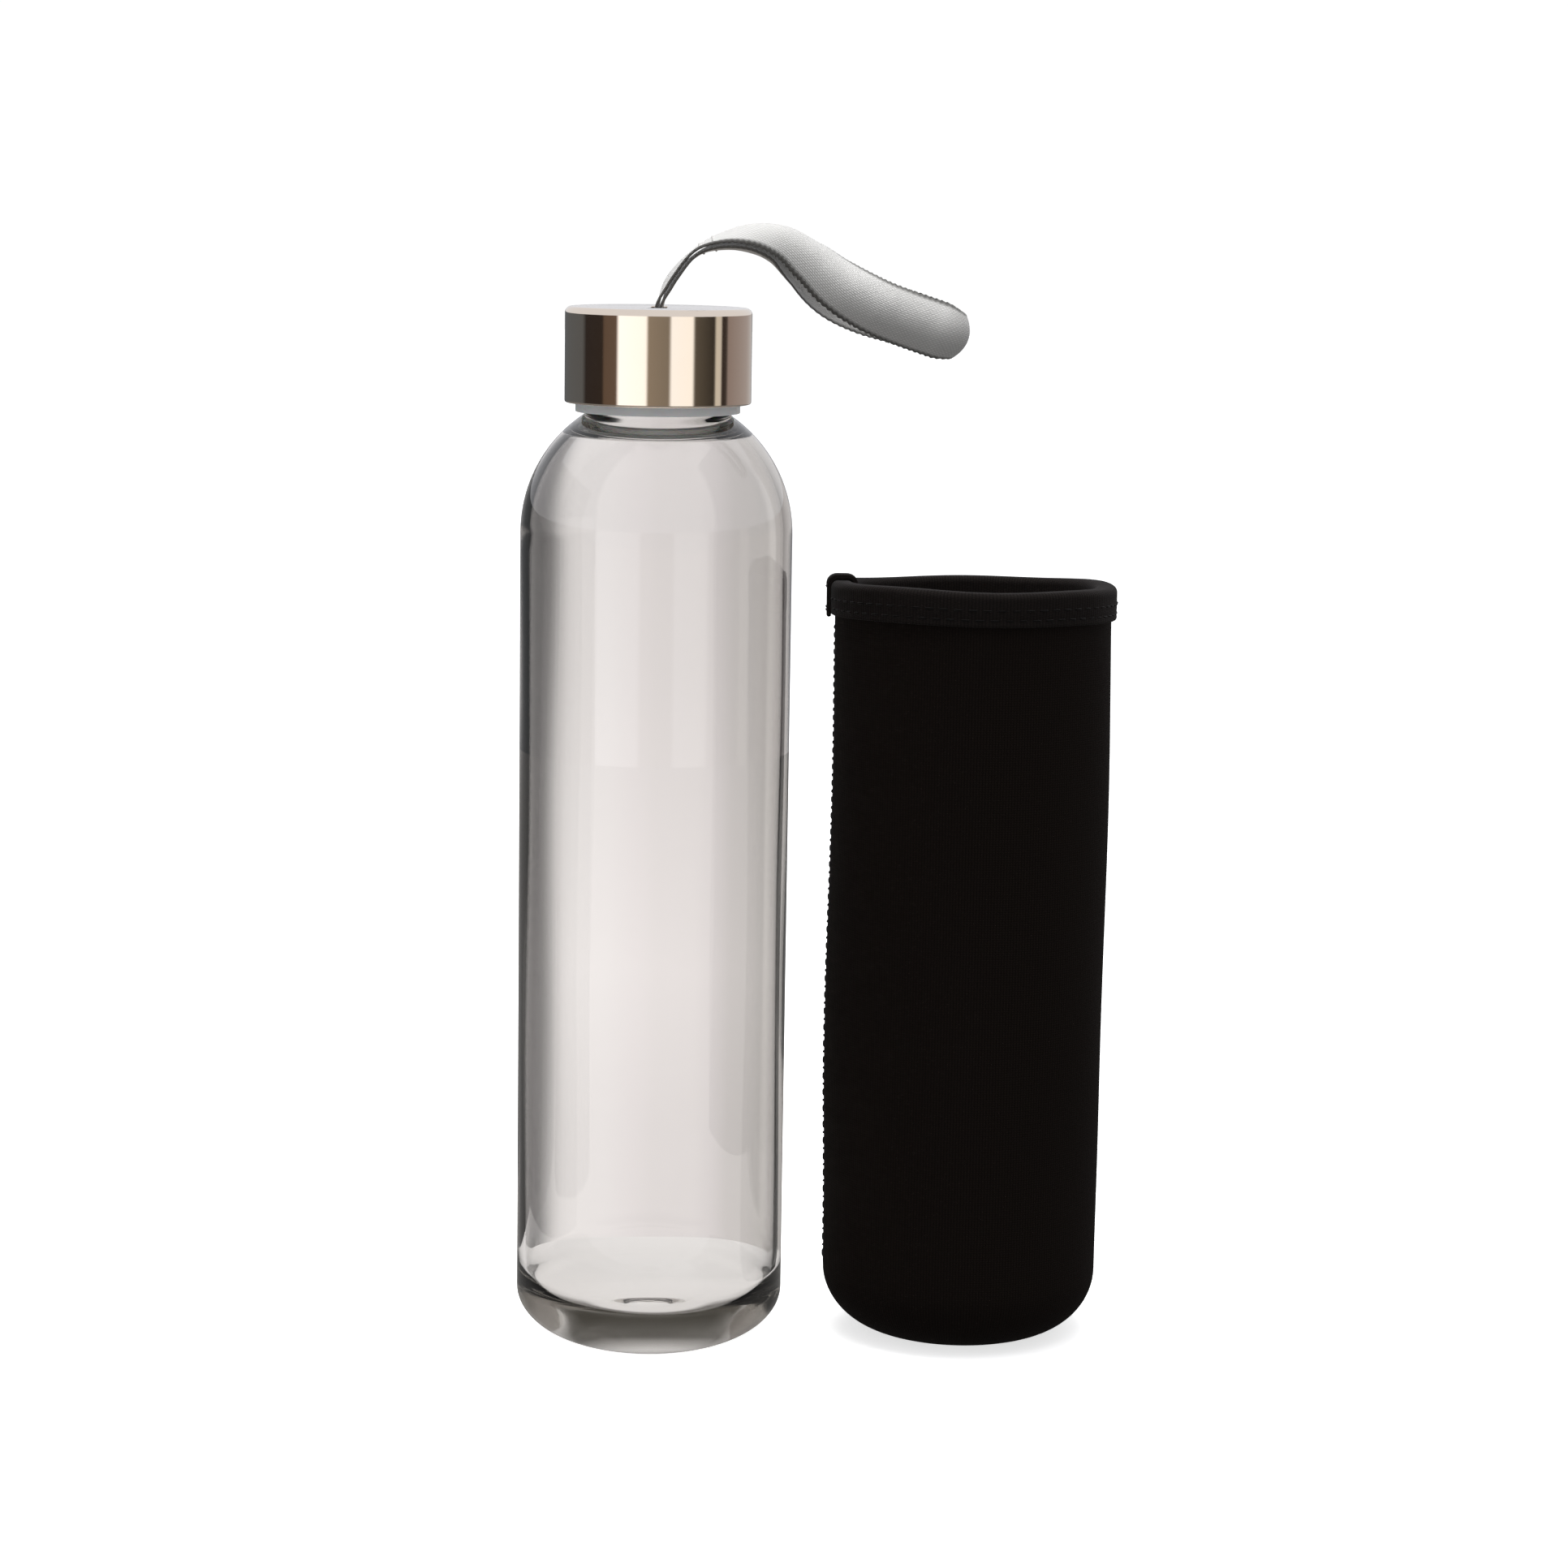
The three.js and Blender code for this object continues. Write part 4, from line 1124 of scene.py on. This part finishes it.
# Cards round the set, as the cap's polished side sees them: degrees from the camera's side, and brightness.
cards = [
    (-180, (0.11, 0.12, 0.13)), (-104, (0.10, 0.105, 0.11)), (-97, (0.028, 0.022, 0.02)),
    (-70, (0.03, 0.022, 0.018)), (-67, (0.115, 0.078, 0.056)), (-50, (0.125, 0.085, 0.062)),
    (-47, (1.32, 1.32, 1.34)), (-13, (1.25, 1.24, 1.22)), (-10, (0.27, 0.225, 0.175)),
    (15, (0.22, 0.185, 0.145)), (18, (1.12, 1.12, 1.12)), (44, (1.12, 1.10, 1.06)),
    (47, (0.10, 0.085, 0.066)), (74, (0.036, 0.03, 0.024)), (77, (0.62, 0.58, 0.5)),
    (84, (0.6, 0.56, 0.5)), (86, (0.03, 0.02, 0.017)), (93, (0.05, 0.04, 0.035)),
    (97, (0.27, 0.22, 0.205)), (140, (0.37, 0.335, 0.33)), (160, (0.5, 0.49, 0.5)),
    (180, (0.11, 0.12, 0.13)),
]


def glowMaterial(name):
    finish = bpy.data.materials.new(name)
    finish.use_nodes = True
    tree = finish.node_tree
    tree.nodes.clear()
    glow = tree.nodes.new("ShaderNodeEmission")
    output = tree.nodes.new("ShaderNodeOutputMaterial")
    tree.links.new(glow.outputs[0], output.inputs["Surface"])
    return finish, tree, glow.inputs["Color"]


# Sets a colour ramp's stops from pairs of place and colour, in rising order.
def fillRamp(ramp, pairs):
    stops = ramp.color_ramp.elements
    stops.remove(stops[1])
    firstAt, firstTone = pairs[0]
    stops[0].position = firstAt
    stops[0].color = (*firstTone, 1)
    for at, tone in pairs[1:]:
        stops.new(at).color = (*tone, 1)


def seenOnlyBy(obj, glossy=False, transmission=False):
    obj.visible_camera = obj.visible_diffuse = obj.visible_shadow = obj.visible_volume_scatter = False
    obj.visible_glossy, obj.visible_transmission = glossy, transmission


def makeRing():
    steps = 360
    angle = np.radians(np.linspace(-180, 180, steps + 1))
    x = bottleAxis.x / mm + studio["ringRadius"] * np.sin(angle)
    y = bottleAxis.y / mm - studio["ringRadius"] * np.cos(angle)
    points = np.array([[(a, b, z) for a, b in zip(x, y)] for z in (0, studio["ringHeight"])])
    ring = gridPiece("card_ring", points, wrapColumns=False)
    layer = ring.data.attributes.new("turn", "FLOAT", "POINT")
    layer.data.foreach_set("value", np.tile(np.degrees(angle), 2).astype(np.float32))
    finish, tree, colour = glowMaterial("card_ring")
    turn = addNode(tree, "Attribute", outputs="Fac", attribute_name="turn")
    ramp = tree.nodes.new("ShaderNodeValToRGB")
    fillRamp(ramp, [((at + 180) / 360, tone) for at, tone in cards])
    tree.links.new(addNode(tree, "MapRange", Value=turn, From_Min=-180.0, From_Max=180.0), ramp.inputs[0])
    tree.links.new(ramp.outputs[0], colour)
    ring.data.materials.append(finish)
    seenOnlyBy(ring, glossy=True)
    return ring


# The panel's tones from its left to its right.
panelTones = [
    (0.0, (0.02, 0.019, 0.018)), (0.18, (0.04, 0.038, 0.037)), (0.24, (0.07, 0.068, 0.068)),
    (0.27, (0.12, 0.115, 0.115)), (0.3, (0.27, 0.26, 0.258)), (0.315, (0.45, 0.433, 0.428)),
    (0.327, (0.66, 0.635, 0.625)), (0.338, (0.86, 0.822, 0.81)), (0.35, (1.0, 0.957, 0.943)),
    (0.365, (1.06, 1.015, 1.0)), (0.42, (1.04, 0.99, 0.98)), (0.46, (0.99, 0.93, 0.925)),
    (0.49, (0.94, 0.885, 0.875)), (0.55, (0.93, 0.875, 0.865)), (0.58, (0.85, 0.795, 0.79)),
    (0.605, (0.75, 0.705, 0.69)), (0.66, (0.71, 0.67, 0.65)), (0.7, (0.74, 0.7, 0.67)),
    (0.8, (0.62, 0.59, 0.57)), (0.9, (0.4, 0.38, 0.37)), (1.0, (0.3, 0.285, 0.275)),
]
# How bright the panel is at heights given in millimetres.
panelHeights = [
    (0, 0.92), (33, 0.92), (72, 1.0), (110, 0.93), (145, 0.86), (181, 0.82), (200, 0.85), (260, 1.0),
]


# A graded panel close behind the bottle, seen only through its glass: dark at the left, softer to the right.
def makePanel():
    y = bottleAxis.y / mm + studio["panelBehind"]
    left = bottleAxis.x / mm - studio["panelHalf"]
    right = bottleAxis.x / mm + studio["panelHalf"]
    # its left end turns towards the front, so that the glass has a dark side to reflect
    wing = straight((left, y - studio["wing"]), (left, y), 8)
    line = [*wing, *straight((left, y), (right, y), 28), (right, y)]
    points = np.array([[(*place, z) for place in line] for z in (0, studio["panelHeight"])])
    panel = gridPiece("graded_panel", points, wrapColumns=False)
    finish, tree, colour = glowMaterial("graded_panel")
    place = addNode(tree, "SeparateXYZ", i0=objectPlace(tree))
    across = addNode(tree, "MapRange", Value=place, From_Min=bottleAxis.x - studio["panelReach"] * mm,
                     From_Max=bottleAxis.x + studio["panelReach"] * mm)
    ramp = tree.nodes.new("ShaderNodeValToRGB")
    fillRamp(ramp, panelTones)
    tree.links.new(across, ramp.inputs[0])
    heights = tree.nodes.new("ShaderNodeValToRGB")
    fillRamp(heights, [(z / studio["panelHeight"], (share,) * 3) for z, share in panelHeights])
    upward = addNode(tree, "MapRange", Value=place.node.outputs[2], From_Min=0.0,
                     From_Max=studio["panelHeight"] * mm)
    tree.links.new(upward, heights.inputs[0])
    tinted = addNode(tree, "VectorMath", operation="MULTIPLY", i0=ramp.outputs[0], i1=heights.outputs[0])
    tree.links.new(tinted, colour)
    panel.data.materials.append(finish)
    seenOnlyBy(panel, transmission=True)
    return panel


# The shadow under the bottle, as its heel shows it: a ring's inner and outer edges, and its front.
heelShadow = {"innerFrom": 14, "innerTo": 18, "outerFrom": 29, "outerTo": 36, "front": 9}


def makeFloor():
    reach, height = studio["floorReach"], -studio["floorDrop"]
    points = np.array([[(x, y, height) for x in (-reach, reach)] for y in (-reach, reach)], float)
    floor = gridPiece("pale_floor", points, wrapColumns=False)
    finish = bpy.data.materials.new("pale_floor")
    finish.use_nodes = True
    tree = finish.node_tree
    tree.nodes.clear()
    output = tree.nodes.new("ShaderNodeOutputMaterial")
    lit = addNode(tree, "BsdfDiffuse", Color=(0.8, 0.8, 0.8, 1))
    glow = addNode(tree, "Emission", Color=(1, 1, 1, 1), Strength=0.7)
    shown = addNode(tree, "AddShader", i0=lit, i1=glow)
    # what the object itself sees of the floor: little bounce, a grey sheen, and pale through the glass
    bounce = addNode(tree, "BsdfDiffuse", Color=(0.2, 0.2, 0.2, 1))
    sheen = addNode(tree, "Emission", Color=(0.2, 0.195, 0.19, 1))
    h = heelShadow
    centre = addNode(tree, "VectorMath", operation="SUBTRACT", i0=objectPlace(tree),
                     i1=(bottleAxis.x, bottleAxis.y, 0))
    radius = addNode(tree, "VectorMath", outputs=1, operation="LENGTH", i0=centre)
    near = addNode(tree, "MapRange", Value=radius, From_Min=h["innerFrom"] * mm, From_Max=h["innerTo"] * mm)
    far = addNode(tree, "MapRange", Value=radius, From_Min=h["outerFrom"] * mm, From_Max=h["outerTo"] * mm,
                  To_Min=1.0, To_Max=0.0)
    back = addNode(tree, "SeparateXYZ", outputs=1, i0=centre)
    front = addNode(tree, "MapRange", Value=back, From_Min=-h["front"] * mm, From_Max=0.0,
                    To_Min=1.0, To_Max=0.0)
    shaded = calc(tree, "MULTIPLY", front, calc(tree, "MULTIPLY", near, far))
    tone = blendColour(tree, shaded, (0.93, 0.9, 0.885), (0.07, 0.064, 0.052))
    through = addNode(tree, "Emission", Color=tone)
    path = tree.nodes.new("ShaderNodeLightPath")
    for ray, look in (("Is Diffuse Ray", bounce), ("Is Glossy Ray", sheen), ("Is Transmission Ray", through)):
        shown = addNode(tree, "MixShader", i0=path.outputs[ray], i1=shown, i2=look)
    tree.links.new(shown, output.inputs["Surface"])
    floor.data.materials.append(finish)
    return floor


def makeWorld():
    paths = bpy.context.scene.cycles
    # light is turned back many times inside a thick glass base
    paths.glossy_bounces = 16
    paths.transmission_bounces = 20
    paths.max_bounces = 28
    world = bpy.data.worlds.new("studio_world")
    bpy.context.scene.world = world
    world.use_nodes = True
    tree = world.node_tree
    tree.nodes.clear()
    path = tree.nodes.new("ShaderNodeLightPath")
    upward = tree.nodes.new("ShaderNodeSeparateXYZ")
    tree.links.new(addNode(tree, "TexCoord", outputs="Generated"), upward.inputs[0])
    above = calc(tree, "POWER", calc(tree, "MAXIMUM", upward.outputs[2], 0.0), 1.5)
    strength = calc(tree, "MULTIPLY_ADD", above, 1.0, 0.1)
    ambient = addNode(tree, "Background", Color=(0.95, 0.96, 0.98, 1), Strength=strength)
    mirrored = addNode(tree, "Background", Color=(0.9, 0.91, 0.95, 1), Strength=0.85)
    behind = addNode(tree, "Background", Color=(1, 1, 1, 1), Strength=1.02)
    output = tree.nodes.new("ShaderNodeOutputWorld")
    around = addNode(tree, "MixShader", i0=path.outputs["Is Diffuse Ray"], i1=mirrored, i2=ambient)
    tree.links.new(addNode(tree, "MixShader", i0=path.outputs["Is Camera Ray"], i1=around, i2=behind),
                   output.inputs["Surface"])


def makeLamp(name, place, size, power, glossy=False):
    data = bpy.data.lights.new(name, "AREA")
    data.shape = "RECTANGLE"
    data.size, data.size_y = size
    data.energy = power
    lamp = bpy.data.objects.new(name, data)
    bpy.context.scene.collection.objects.link(lamp)
    lamp.location = bottleAxis + Vector(place)
    aim = Vector((bottleAxis.x + 0.03, bottleAxis.y, 0.16)) - lamp.location
    lamp.rotation_euler = aim.to_track_quat("-Z", "Y").to_euler()
    lamp.visible_camera = False
    lamp.visible_glossy = glossy
    lamp.visible_transmission = False


bpy.context.scene.view_settings.view_transform = "Standard"
makeFloor()
makeRing()
makePanel()
makeWorld()
makeLamp("overhead_softbox", (-0.1, 0.1, 1.1), (0.9, 0.9), 12)
makeLamp("front_softbox", (0.3, -0.5, 1.2), (0.5, 0.5), 2.5)
print("studio is set")
